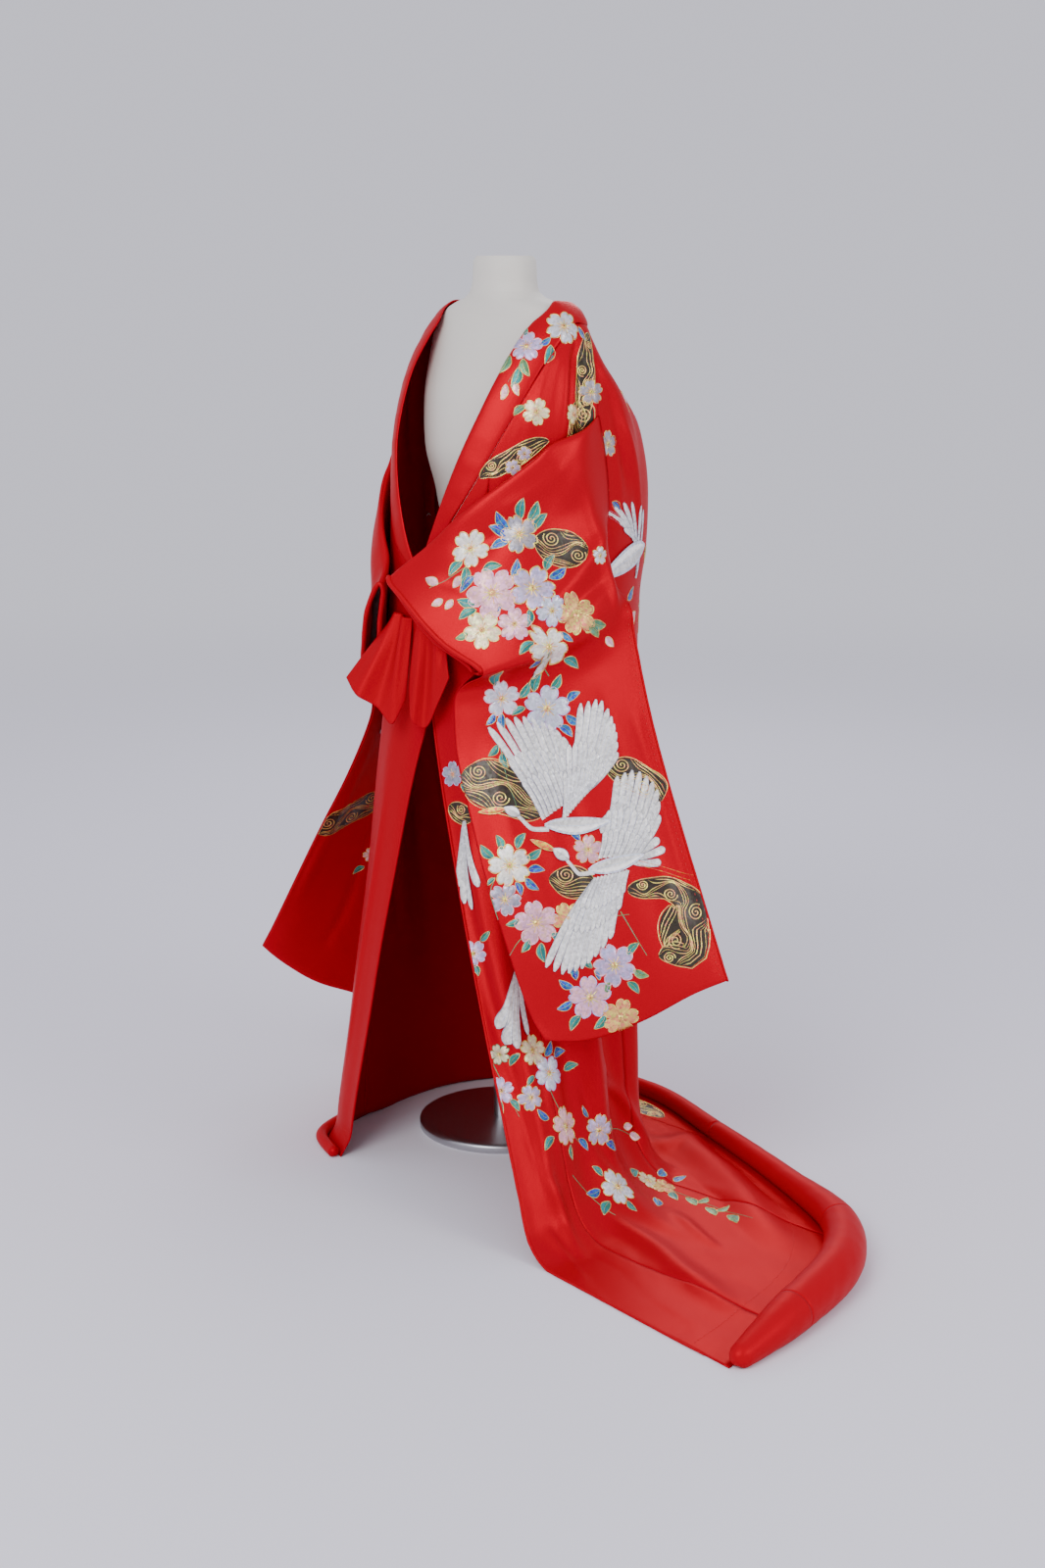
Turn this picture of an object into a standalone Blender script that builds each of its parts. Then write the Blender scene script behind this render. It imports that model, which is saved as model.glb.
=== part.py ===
"""A wedding over-robe worn by a limbless dress form, its train spread on the floor.

Metres, +Z up. The wearer faces -Y and the wearer's left is +X. The origin is on
the floor, at the centre of the underside of the stand's round base.
"""

import math

import bpy
import numpy as np

GAP = 0.0003  # between pieces that touch, such as two panels at a seam
WALL = 0.0022  # face cloth, padding and lining together
COLLAR_WALL = 0.0030  # the collar is folded double
FLOOR = 0.0

# The worn body, from the neck to the waist: half ovals in front of and behind a side line.
BODY_CENTRE_X = 0.010
BODY_SECTIONS = (
    # height, half width on the left, on the right, depth in front, depth behind
    (0.600, 0.190, 0.170, 0.205, 0.190),
    (0.780, 0.193, 0.172, 0.203, 0.206),
    (0.870, 0.196, 0.174, 0.202, 0.226),
    (0.950, 0.197, 0.175, 0.200, 0.248),
    (1.000, 0.198, 0.175, 0.198, 0.260),
    (1.100, 0.200, 0.177, 0.192, 0.268),
    (1.200, 0.200, 0.180, 0.181, 0.246),
    (1.270, 0.197, 0.183, 0.158, 0.190),
    (1.310, 0.191, 0.182, 0.138, 0.135),
    (1.360, 0.177, 0.172, 0.100, 0.106),
    (1.400, 0.154, 0.152, 0.058, 0.098),
    (1.420, 0.126, 0.124, 0.032, 0.082),
)
WAIST_Z = 0.950

# Warp lines of the robe, one to a row, from the left front edge round the back to the right one.
# Angles turn from the front (0) to the wearer's left (90) and the back (180), in degrees.
# A line leaves the waist after the share "drop" of the fall, "power" curves it out to where it
# lands, and it ends at the hem. "roll" is the radius of the padded hem there, and "bend" the
# length over which the hanging cloth turns to lie on the floor.
LINES = (
    # name, neck angle, neck z, waist angle, drop, power, land x, land y, hem x, hem y, roll, bend
    ("left_edge", 7, 1.000, 14, 0.15, 1.25, 0.473, -0.326, 0.890, -0.333, 0.016, 0.06),
    ("left_okumi_seam", 28, 1.199, 42, 0.10, 1.20, 0.452, -0.215, 0.850, -0.188, 0.032, 0.16),
    ("left_front", 50, 1.386, 66, 0.05, 1.20, 0.395, -0.100, 0.798, -0.040, 0.035, 0.26),
    ("left_side", 90, 1.420, 93, 0.00, 1.15, 0.300, 0.025, 0.692, 0.086, 0.029, 0.26),
    ("left_back", 135, 1.416, 137, 0.00, 1.05, 0.160, 0.122, 0.515, 0.162, 0.020, 0.20),
    ("centre_back", 180, 1.405, 180, 0.00, 1.00, 0.055, 0.200, 0.295, 0.226, 0.017, 0.16),
    ("right_back", 225, 1.416, 223, 0.00, 1.00, -0.055, 0.225, 0.080, 0.276, 0.015, 0.12),
    ("right_side", 270, 1.420, 267, 0.00, 1.00, -0.160, 0.155, -0.115, 0.240, 0.013, 0.08),
    ("right_front", 325, 1.385, 300, 0.00, 1.00, -0.200, -0.020, -0.222, 0.040, 0.012, 0.05),
    ("right_okumi_seam", 340, 1.170, 326, 0.00, 1.00, -0.168, -0.180, -0.184, -0.160, 0.011, 0.02),
    ("right_strip", 353, 1.072, 347, 0.15, 0.90, -0.128, -0.272, -0.134, -0.281, 0.010, 0.01),
    ("right_edge", 364, 1.010, 372, 0.20, 0.85, -0.052, -0.300, -0.054, -0.310, 0.010, 0.01),
)
LINE_STEPS = 5  # grid columns from one warp line to the next
COLLAR_ROWS = 3  # grid rows across the collar band
UPPER_ROWS = 9  # from the collar's seam to the waist
LOWER_ROWS = 23  # and from the waist to the hem

PANELS = (
    # name, first line, last line
    ("okumi_left", "left_edge", "left_okumi_seam"),
    ("front_left", "left_okumi_seam", "left_side"),
    ("back_left", "left_side", "centre_back"),
    ("back_right", "centre_back", "right_side"),
    ("front_right", "right_side", "right_okumi_seam"),
    ("okumi_right", "right_okumi_seam", "right_edge"),
)

# Soft folds raised in the body, each centred on a warp line's number.
FOLDS = (
    # line, half width in lines, depth, top row, full row, end row
    (0.55, 0.35, 0.012, 13, 20, 33),
    (1.45, 0.40, -0.014, 12, 20, 33),
    (2.05, 0.38, 0.024, 12, 22, 34),
    (2.65, 0.36, -0.018, 13, 22, 33),
    (3.25, 0.40, 0.030, 12, 24, 34),
    (4.15, 0.40, 0.020, 13, 22, 33),
    (4.75, 0.35, -0.016, 12, 20, 31),
    (5.45, 0.42, 0.022, 13, 22, 33),
    (6.30, 0.42, 0.020, 12, 22, 32),
    (7.10, 0.40, -0.014, 12, 20, 30),
    (7.80, 0.40, 0.018, 12, 22, 31),
    (8.70, 0.40, 0.012, 13, 22, 31),
    (2.20, 0.32, 0.009, 3, 6, 10),
    (2.60, 0.32, -0.010, 3, 6, 10),
    (3.50, 0.30, 0.012, 3, 6, 11),
    (4.45, 0.35, -0.012, 4, 8, 13),
    (5.60, 0.35, 0.010, 4, 8, 13),
    (6.50, 0.30, 0.012, 3, 6, 11),
    (7.60, 0.32, 0.010, 3, 6, 10),
)

# The armhole is open between the front and the back panel, on these grid rows.
ARMHOLE_HALF_WIDTHS = {8: 0.012, 9: 0.022, 10: 0.025, 11: 0.014}
ARMHOLE_TOP_ROW = 7

COLLAR_WIDTH = 0.052
COLLAR_END_WIDTH = 0.010  # it tapers to this along the front edge at the waist
ROLL_CLEARANCE = 0.0012  # of the hem's roll from cloth that hangs straight down beside it
FLAT_LENGTH = 0.023  # of cloth on the floor, past which the roll lies against its edge
SEAM_SMOOTHING = 6  # passes that even out the collar's outer edge over the shoulders

# A sleeve's outer layer, from the fold along its top to its bottom: a point on the wrist
# side and one on the open side below the armhole, and how deep the sleeve is at each.
LEFT_SLEEVE = (
    # wrist x, y, z, open side x, y, z, depth at wrist, depth at open side, bow
    (0.042, -0.262, 0.985, 0.214, -0.010, 1.235, 0.020, 0.016, 0.010),
    (0.085, -0.262, 0.960, 0.232, 0.010, 1.170, 0.044, 0.030, 0.034),
    (0.150, -0.246, 0.903, 0.248, 0.030, 1.070, 0.048, 0.044, 0.046),
    (0.222, -0.218, 0.860, 0.270, 0.040, 0.960, 0.034, 0.052, 0.040),
    (0.164, -0.226, 0.822, 0.292, 0.040, 0.880, 0.0047, 0.054, 0.030),
    (0.172, -0.236, 0.760, 0.322, 0.036, 0.800, 0.0047, 0.054, 0.024),
    (0.215, -0.247, 0.665, 0.365, 0.030, 0.710, 0.0047, 0.050, 0.020),
    (0.281, -0.258, 0.540, 0.432, 0.022, 0.585, 0.0047, 0.040, 0.018),
    (0.336, -0.255, 0.428, 0.488, 0.016, 0.485, 0.0047, 0.028, 0.014),
    (0.372, -0.248, 0.352, 0.522, 0.014, 0.418, 0.0047, 0.016, 0.010),
    (0.392, -0.238, 0.318, 0.534, 0.014, 0.395, 0.0047, 0.0070, 0.006),
)
RIGHT_SLEEVE = (
    (-0.026, -0.240, 0.968, -0.170, -0.010, 1.235, 0.014, 0.012, 0.000),
    (-0.048, -0.240, 0.935, -0.186, 0.010, 1.170, 0.024, 0.024, 0.004),
    (-0.072, -0.230, 0.885, -0.198, 0.030, 1.070, 0.028, 0.036, 0.006),
    (-0.098, -0.214, 0.835, -0.214, 0.044, 0.960, 0.022, 0.044, 0.008),
    (-0.118, -0.186, 0.780, -0.226, 0.050, 0.860, 0.0047, 0.048, 0.010),
    (-0.150, -0.168, 0.720, -0.240, 0.052, 0.760, 0.0047, 0.050, 0.012),
    (-0.206, -0.176, 0.620, -0.262, 0.052, 0.640, 0.0047, 0.048, 0.014),
    (-0.278, -0.194, 0.500, -0.288, 0.046, 0.480, 0.0047, 0.042, 0.014),
    (-0.340, -0.214, 0.385, -0.306, 0.034, 0.320, 0.0047, 0.030, 0.012),
    (-0.374, -0.226, 0.320, -0.312, 0.020, 0.200, 0.0047, 0.016, 0.010),
    (-0.393, -0.235, 0.283, -0.316, 0.012, 0.134, 0.0047, 0.0070, 0.006),
)
BODY_CLEARANCE = 0.008  # of a sleeve from the body it lies over
SLEEVE_STEPS = 12  # grid columns from the wrist to the open side
# Grid rows of a sleeve's layer, as places in its table; the first ones follow the armhole.
SLEEVE_PLACES = (0, 0.75, 1.4, 2.1, 2.7, 3.1, 3.6, 4.1, 4.7, 5.4, 6.1, 6.9, 7.7, 8.5, 9.2, 10)
ARMHOLE_SEAM_ROWS = 5
ARMHOLE_LAP = 0.004  # of the sleeve's edge on the panel
CROWN_RISE = 0.009  # of the fold along a sleeve's top
BOTTOM_SAG = 0.026

# The two fronts turned back at the waist, the plain side out. Their upper edges lie on the
# body at an angle, a height and a distance out, and their lower edges stand free.
TUCK_WALL = 0.003
TUCKS = {
    "tuck_right": (
        # top angle, height, out, bottom x, y, z
        (-11.5, 0.926, 0.0017, -0.072, -0.268, 0.820),
        (-8.5, 0.928, 0.0107, -0.040, -0.274, 0.798),
        (-4.5, 0.926, 0.0037, -0.012, -0.250, 0.776),
        (-0.5, 0.924, 0.0117, 0.018, -0.244, 0.752),
        (3.5, 0.922, 0.0017, 0.028, -0.222, 0.792),
    ),
    "tuck_left": (
        (6.0, 0.921, 0.0019, 0.040, -0.224, 0.815),
        (10.0, 0.919, 0.0109, 0.060, -0.236, 0.765),
        (14.5, 0.915, 0.0039, 0.076, -0.222, 0.752),
        (19.0, 0.910, 0.0089, 0.104, -0.214, 0.800),
        (23.0, 0.905, 0.0019, 0.120, -0.206, 0.838),
    ),
}
TUCK_STEPS = 10
TUCK_ROWS = 5

# The dress form: a shaped torso with a neck stub, on a pole and a round base.
FORM_SECTIONS = (
    # height, half width, depth in front, depth behind, centre x
    (0.760, 0.120, 0.085, 0.100, 0.010),
    (0.764, 0.135, 0.095, 0.112, 0.010),
    (0.850, 0.150, 0.100, 0.120, 0.010),
    (0.930, 0.142, 0.096, 0.108, 0.010),
    (1.030, 0.122, 0.088, 0.088, 0.010),
    (1.110, 0.130, 0.100, 0.090, 0.010),
    (1.190, 0.148, 0.118, 0.096, 0.010),
    (1.260, 0.160, 0.110, 0.100, 0.010),
    (1.310, 0.1660, 0.092, 0.098, 0.010),
    (1.360, 0.1653, 0.071, 0.091, 0.010),
    (1.385, 0.1553, 0.059, 0.083, 0.010),
    (1.400, 0.1443, 0.051, 0.079, 0.010),
    (1.410, 0.1270, 0.049, 0.075, 0.009),
    (1.418, 0.1030, 0.048, 0.070, 0.008),
    (1.424, 0.0780, 0.048, 0.064, 0.007),
    (1.434, 0.0600, 0.047, 0.060, 0.006),
    (1.450, 0.0540, 0.045, 0.058, 0.006),
    (1.482, 0.0520, 0.043, 0.057, 0.006),
    (1.490, 0.0470, 0.038, 0.052, 0.006),
)
FORM_STEPS = 28
POLE_RADIUS = 0.014
BASE_RADIUS = 0.145
BASE_HEIGHT = 0.016

RED = (0.78, 0.020, 0.018, 1.0)
DEEP_RED = (0.66, 0.016, 0.016, 1.0)
IVORY = (0.80, 0.76, 0.68, 1.0)
STEEL = (0.55, 0.55, 0.56, 1.0)


def clear_scene():
    for old in list(bpy.data.objects):
        bpy.data.objects.remove(old, do_unlink=True)


def make_material(name, colour, roughness, metallic=0.0):
    material = bpy.data.materials.new(name)
    material.use_nodes = True
    shader = material.node_tree.nodes["Principled BSDF"]
    shader.inputs["Base Color"].default_value = colour
    shader.inputs["Roughness"].default_value = roughness
    shader.inputs["Metallic"].default_value = metallic
    return material


def add_object(name, points, faces, material):
    mesh = bpy.data.meshes.new(name)
    mesh.from_pydata([tuple(point) for point in points], [], faces)
    mesh.validate()
    mesh.shade_smooth()
    mesh.set_sharp_from_angle(angle=math.radians(40))
    mesh.materials.append(material)
    piece = bpy.data.objects.new(name, mesh)
    bpy.context.scene.collection.objects.link(piece)
    return piece


def smooth_curve(knots, values, wanted):
    """Values at the wanted places on a curve through the knots, with no overshoot."""
    knots = np.asarray(knots, float)
    values = np.asarray(values, float)
    steps = np.diff(knots)
    rises = np.diff(values) / steps
    slopes = np.zeros(len(knots))
    slopes[0], slopes[-1] = rises[0], rises[-1]
    for i in range(1, len(knots) - 1):
        if rises[i - 1] * rises[i] > 0:
            before, after = 2 * steps[i] + steps[i - 1], steps[i] + 2 * steps[i - 1]
            slopes[i] = (before + after) / (before / rises[i - 1] + after / rises[i])
    wanted = np.asarray(wanted, float)
    at = np.clip(np.searchsorted(knots, wanted, side="right") - 1, 0, len(steps) - 1)
    share = (wanted - knots[at]) / steps[at]
    run = steps[at]
    return (
        values[at] * (1 + 2 * share) * (1 - share) ** 2
        + slopes[at] * run * share * (1 - share) ** 2
        + values[at + 1] * share**2 * (3 - 2 * share)
        + slopes[at + 1] * run * share**2 * (share - 1)
    )


def curve_columns(rows, wanted):
    """Each column of a table, followed along its rows."""
    table = np.asarray(rows, float)
    knots = np.arange(len(table))
    return [smooth_curve(knots, column, wanted) for column in table.T]


def body_point(angle, height):
    """The worn body's surface at an angle in degrees and a height."""
    table = np.asarray(BODY_SECTIONS)
    left, right, front, back = (smooth_curve(table[:, 0], column, height) for column in table.T[1:])
    turn = math.radians(angle)
    half = left if math.sin(turn) > 0 else right
    depth = front if math.cos(turn) > 0 else back
    return np.array((BODY_CENTRE_X + half * math.sin(turn), -depth * math.cos(turn), height))


def grid_normals(grid, closed_rows=False):
    """Unit normals of a grid of points, on the outer side of the cloth."""
    if closed_rows:
        along = np.roll(grid, -1, axis=1) - np.roll(grid, 1, axis=1)
    else:
        along = np.gradient(grid, axis=1)
    across = np.gradient(grid, axis=0)
    normals = np.cross(along, across)
    lengths = np.linalg.norm(normals, axis=2, keepdims=True)
    return normals / np.maximum(lengths, 1e-9)


def wall_object(name, outer, inner, material, closed_rows=False):
    """A closed wall between two grids of points."""
    columns, rows = outer.shape[:2]
    points = np.concatenate([outer.reshape(-1, 3), inner.reshape(-1, 3)])
    under = columns * rows
    faces = []

    def at(column, row):
        return column * rows + row % rows

    row_steps = rows if closed_rows else rows - 1
    for column in range(columns - 1):
        for row in range(row_steps):
            a, b = at(column, row), at(column + 1, row)
            c, d = at(column + 1, row + 1), at(column, row + 1)
            faces.append((a, d, c, b))
            faces.append((under + a, under + b, under + c, under + d))
    for row in range(row_steps):
        a, d = at(0, row), at(0, row + 1)
        faces.append((a, under + d, d))
        faces.append((a, under + a, under + d))
        a, d = at(columns - 1, row), at(columns - 1, row + 1)
        faces.append((a, d, under + d))
        faces.append((a, under + d, under + a))
    if not closed_rows:
        for column in range(columns - 1):
            a, b = at(column, 0), at(column + 1, 0)
            faces.append((a, b, under + b))
            faces.append((a, under + b, under + a))
            a, b = at(column, rows - 1), at(column + 1, rows - 1)
            faces.append((a, under + b, b))
            faces.append((a, under + a, under + b))
    return add_object(name, points, faces, material)


def smooth_share(value):
    value = np.clip(value, 0.0, 1.0)
    return value**2 * (3 - 2 * value)


def walk_on_body(angle, height, direction, distance):
    """The angle and height reached by walking a distance over the body in a direction."""
    steps = 12
    for _ in range(steps):
        here = body_point(angle, height)
        by_angle = (body_point(angle + 0.5, height) - here) / 0.5
        by_height = (here - body_point(angle, height - 0.002)) / 0.002
        axes = np.stack([by_angle, by_height], axis=1)
        turn, rise = np.linalg.lstsq(axes, direction * distance / steps, rcond=None)[0]
        angle += turn
        height = min(height + rise, BODY_SECTIONS[-1][0])
    return angle, height


def collar_seams(angles, heights):
    """Where the collar's outer edge crosses each warp line, as angles and heights."""
    edge = np.array([body_point(a, z) for a, z in zip(angles, heights)])
    run = np.gradient(edge, axis=0)
    last = len(edge) - 1
    found = []
    for i, (angle, height) in enumerate(zip(angles, heights)):
        by_angle = body_point(angle + 0.5, height) - edge[i]
        by_height = edge[i] - body_point(angle, height - 0.002)
        outward = np.cross(by_angle, by_height)
        aside = np.cross(run[i], outward)
        aside /= np.linalg.norm(aside)
        from_end = min(i, last - i) / LINE_STEPS
        width = COLLAR_END_WIDTH + (COLLAR_WIDTH - COLLAR_END_WIDTH) * smooth_share(from_end)
        found.append(walk_on_body(angle, height, aside, width))
    found = np.array(found)
    for _ in range(SEAM_SMOOTHING):
        found[1:-1] = (found[:-2] + 2 * found[1:-1] + found[2:]) / 4
    return found


def hanging_line(waist, drop, power, land, hem, bend):
    """Points down one warp line from below the waist to the floor, then on to the hem."""
    land = np.array((land[0], land[1], FLOOR))
    hem = np.array((hem[0], hem[1], FLOOR))
    path = []
    for fall in np.linspace(0, 1, 81):
        out = max(0.0, (fall - drop) / (1 - drop)) ** power
        flat = waist + (land - waist) * out
        path.append((flat[0], flat[1], WAIST_Z * (1 - fall)))
    for share in np.linspace(0, 1, 41)[1:]:
        path.append(tuple(land + (hem - land) * share))
    path = np.array(path)
    lengths = np.concatenate([[0], np.cumsum(np.linalg.norm(np.diff(path, axis=0), axis=1))])
    even = np.linspace(0, lengths[-1], 161)
    path = np.stack([np.interp(even, lengths, path[:, i]) for i in range(3)], axis=1)
    reach = max(1, round(bend / 2 / (lengths[-1] / 160)))
    rounded = path.copy()
    for i in range(161):
        near = min(reach, i, 160 - i)
        rounded[i] = path[i - near : i + near + 1].mean(axis=0)
    picks = np.linspace(0, 160, LOWER_ROWS + 1)[1:]
    return np.stack([np.interp(picks, np.arange(161), rounded[:, i]) for i in range(3)], axis=1)


def fold_heights(places, rows):
    """How far the folds push each grid point out."""
    lines = np.asarray(places)[:, None]
    row = np.arange(rows)[None, :]
    total = np.zeros((len(places), rows))
    for centre, half, depth, top, full, end in FOLDS:
        across = smooth_share(1 - np.abs(lines - centre) / half)
        rise = smooth_share((row - top) / (full - top))
        fade = smooth_share((end - row) / (end - full))
        total += depth * across * rise * fade
    return total


def body_grid():
    """The robe's body as one grid: columns are warp lines, rows go down to the hem."""
    places = np.linspace(0, len(LINES) - 1, (len(LINES) - 1) * LINE_STEPS + 1)
    table = curve_columns([line[1:] for line in LINES], places)
    angles, heights, waists, drops, powers, land_x, land_y, hem_x, hem_y, rolls, bends = table
    seams = collar_seams(angles, heights)
    grid = []
    for i, (seam_angle, seam_z) in enumerate(seams):
        line = []
        for share in np.linspace(0, 1, COLLAR_ROWS + 1):
            angle = angles[i] + (seam_angle - angles[i]) * share
            line.append(body_point(angle, heights[i] + (seam_z - heights[i]) * share))
        for share in np.linspace(0, 1, UPPER_ROWS + 1)[1:] ** 1.3:
            angle = seam_angle + (waists[i] - seam_angle) * share
            line.append(body_point(angle, seam_z + (WAIST_Z - seam_z) * share))
        land, hem = (land_x[i], land_y[i]), (hem_x[i], hem_y[i])
        lower = hanging_line(line[-1], drops[i], powers[i], land, hem, bends[i])
        grid.append(np.concatenate([line, lower]))
    grid = np.array(grid)
    grid = grid + grid_normals(grid) * fold_heights(places, grid.shape[1])[:, :, None]
    grid[:, :, 2] = np.maximum(grid[:, :, 2], FLOOR + WALL)
    lying = np.hypot(hem_x - land_x, hem_y - land_y)
    return grid, rolls, lying


def trimmed(grid, sides):
    """A grid whose named sides are drawn in by half a seam's gap."""
    grid = grid.copy()
    places = {"first": (0, 1), "last": (-1, -2), "top": (0, 1), "bottom": (-1, -2)}
    for side in sides:
        edge, beside = places[side]
        view = grid if side in ("first", "last") else grid.transpose(1, 0, 2)
        inward = view[beside] - view[edge]
        inward /= np.linalg.norm(inward, axis=1, keepdims=True)
        view[edge] += inward * GAP * 0.6
    return grid


def line_column(name):
    return [line[0] for line in LINES].index(name) * LINE_STEPS


def armhole_edges(grid, side_column):
    """The front and back edges of a side line, drawn apart over the armhole."""
    step = grid[side_column + 1] - grid[side_column - 1]
    step /= np.linalg.norm(step, axis=1, keepdims=True)
    front, back = grid[side_column].copy(), grid[side_column].copy()
    for row, half in ARMHOLE_HALF_WIDTHS.items():
        front[row] -= step[row] * half
        back[row] += step[row] * half
    return front, back, step


def build_panels(grid, normals, material):
    """Fronts, backs and overlaps, from the collar's seam to the hem."""
    edges = {}
    for name in ("left_side", "right_side"):
        column = line_column(name)
        edges[column] = armhole_edges(grid, column)
    rows = list(ARMHOLE_HALF_WIDTHS)
    for name, first, last in PANELS:
        start, stop = line_column(first), line_column(last)
        outer = grid[start : stop + 1].copy()
        if stop in edges:
            outer[-1] = edges[stop][0]
            outer[-2, rows] = (outer[-1, rows] + outer[-3, rows]) / 2
        if start in edges:
            outer[0] = edges[start][1]
            outer[1, rows] = (outer[0, rows] + outer[2, rows]) / 2
        inner = outer - normals[start : stop + 1] * WALL
        sides = ["top"]
        sides += [side for side, line in (("first", first), ("last", last)) if "edge" not in line]
        outer = trimmed(outer[:, COLLAR_ROWS:], sides)
        inner = trimmed(inner[:, COLLAR_ROWS:], sides)
        inner[:, :, 2] = np.maximum(inner[:, :, 2], FLOOR)
        wall_object(name, outer, inner, material)


def build_collar(grid, normals, material):
    """The folded band round the neck and down both fronts."""
    band = grid[:, : COLLAR_ROWS + 1]
    facing = normals[:, : COLLAR_ROWS + 1]
    outer = trimmed(band + facing * (COLLAR_WALL - WALL), ["bottom"])
    inner = trimmed(band - facing * WALL, ["bottom"])
    wall_object("collar", outer, inner, material)


def roll_ring(point, aside, radius, shift):
    """A round section of the padded hem, cut flat where it rests."""
    height = radius * 0.85
    cut = math.acos(height / radius)
    ring = []
    for turn in np.linspace(cut, 2 * math.pi - cut, 10):
        out = -math.sin(turn) * radius
        up = height - math.cos(turn) * radius
        ring.append((*(point[:2] + aside * (shift + out)), max(FLOOR, up)))
    return ring


def build_hem_rolls(grid, rolls, lying, material):
    """The padded roll along each panel's hem, lying on the floor just outside it."""
    hem = grid[:, -1].copy()
    run = np.gradient(hem[:, :2], axis=0)
    run /= np.linalg.norm(run, axis=1, keepdims=True)
    aside = np.stack([run[:, 1], -run[:, 0]], axis=1)
    for name, first, last in PANELS:
        start, stop = line_column(first), line_column(last)
        rings = []
        for i in range(start, stop + 1):
            radius = rolls[i]
            side = np.array(roll_ring(np.zeros(2), np.array((-1.0, 0.0)), radius, 0.0))[:3]
            beside_flat = np.interp(WALL, side[:, 2], side[:, 0])
            flat = smooth_share(lying[i] / FLAT_LENGTH)
            shift = (radius + ROLL_CLEARANCE) * (1 - flat) + beside_flat * flat + 2 * GAP
            rings.append(roll_ring(hem[i], aside[i], radius, shift))
        rings = np.array(rings)
        for edge, beside in ((0, 1), (-1, -2)):
            inward = rings[beside] - rings[edge]
            rings[edge] += inward / np.linalg.norm(inward, axis=1, keepdims=True) * GAP * 0.6
        count = rings.shape[1]
        faces = []
        for i in range(len(rings) - 1):
            for j in range(count):
                a, b = i * count + j, i * count + (j + 1) % count
                faces.append((a, b, b + count, a + count))
        faces.append(tuple(range(count))[::-1])
        faces.append(tuple((len(rings) - 1) * count + j for j in range(count)))
        kind, side = name.split("_")
        add_object(f"hem_roll_{kind}_{side}", rings.reshape(-1, 3), faces, material)


def sleeve_layers(table, outward_sign):
    """Grids of a sleeve's outer and inner layer: columns from the wrist, rows from the top."""
    values = curve_columns(table, np.array(SLEEVE_PLACES, float))
    wrist = np.stack(values[0:3], axis=1)
    open_side = np.stack(values[3:6], axis=1)
    wrist_depth, open_depth, bow = values[6:9]
    outer, inner = [], []
    for share in np.linspace(0, 1, SLEEVE_STEPS + 1):
        line = wrist + (open_side - wrist) * share
        run = open_side - wrist
        out = np.stack([run[:, 1], -run[:, 0], np.zeros(len(run))], axis=1) * outward_sign
        out /= np.linalg.norm(out, axis=1, keepdims=True)
        hump = math.sin(math.pi * share)
        line = line + out * (bow * hump)[:, None]
        sag = smooth_share((np.array(SLEEVE_PLACES) - 7) / 3) * BOTTOM_SAG * hump
        line[:, 2] -= sag * (1 - share) * 1.5
        depth = wrist_depth + (open_depth - wrist_depth) * share**0.8
        outer.append(line)
        inner.append(line - out * depth[:, None])
    return np.array(outer), np.array(inner)


def clear_of_body(points, grid, normals, distance):
    """Points moved out of the body, where they lie nearer to it than a distance."""
    near = slice(COLLAR_ROWS, COLLAR_ROWS + UPPER_ROWS + 8)
    places = grid[:, near].reshape(-1, 3)
    facing = normals[:, near].reshape(-1, 3)
    moved = points.copy()
    for i, point in enumerate(points):
        nearest = np.argmin(np.linalg.norm(places - point, axis=1))
        height = (point - places[nearest]) @ facing[nearest]
        moved[i] += facing[nearest] * max(0.0, distance - height)
    return moved


def build_sleeve(name, table, outward_sign, grid, normals, side_column, material):
    """One length of cloth folded along the top, closed at the wrist below the mouth."""
    outer, inner = sleeve_layers(table, outward_sign)
    for column in range(SLEEVE_STEPS):
        depth = np.linalg.norm(outer[column] - inner[column], axis=1)
        inner[column] = clear_of_body(inner[column], grid, normals, BODY_CLEARANCE + WALL)
        for row in range(len(depth)):
            clear = BODY_CLEARANCE + WALL + min(depth[row], 0.02)
            outer[column, row] = clear_of_body(outer[column, row : row + 1], grid, normals, clear)[0]
    front, back, step = armhole_edges(grid, side_column)
    rows = [ARMHOLE_TOP_ROW + i for i in range(ARMHOLE_SEAM_ROWS)]
    toward_back = step if outward_sign > 0 else -step
    rear, fore = (back, front) if outward_sign > 0 else (front, back)
    clear = normals[side_column] * (3 * GAP)
    outer[-1, :ARMHOLE_SEAM_ROWS] = (rear + toward_back * ARMHOLE_LAP + clear)[rows]
    inner[-1, :ARMHOLE_SEAM_ROWS] = (fore - toward_back * ARMHOLE_LAP + clear)[rows]
    crown = (outer[:, :1] + inner[:, :1]) / 2
    crown[:, :, 2] += CROWN_RISE
    crown[:, 0] = clear_of_body(crown[:, 0], grid, normals, BODY_CLEARANCE + WALL)
    crown[-1, 0] = (grid[side_column] + clear)[ARMHOLE_TOP_ROW]
    crown[-1, 0, 2] += CROWN_RISE
    loop = np.concatenate([crown, outer, inner[:, ::-1]], axis=1)
    if outward_sign < 0:
        loop = loop[::-1]
    facing = grid_normals(loop, closed_rows=True)
    lining = loop - facing * WALL
    seam = -1 if outward_sign > 0 else 0
    for i, row in enumerate(rows):
        lining[seam, 1 + i] = loop[seam, 1 + i] - toward_back[row] * WALL
        lining[seam, -1 - i] = loop[seam, -1 - i] + toward_back[row] * WALL
    lining[seam, 0] = loop[seam, 0]
    lining[seam, 0, 2] -= WALL
    wall_object(name, loop, lining, material, closed_rows=True)


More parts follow.
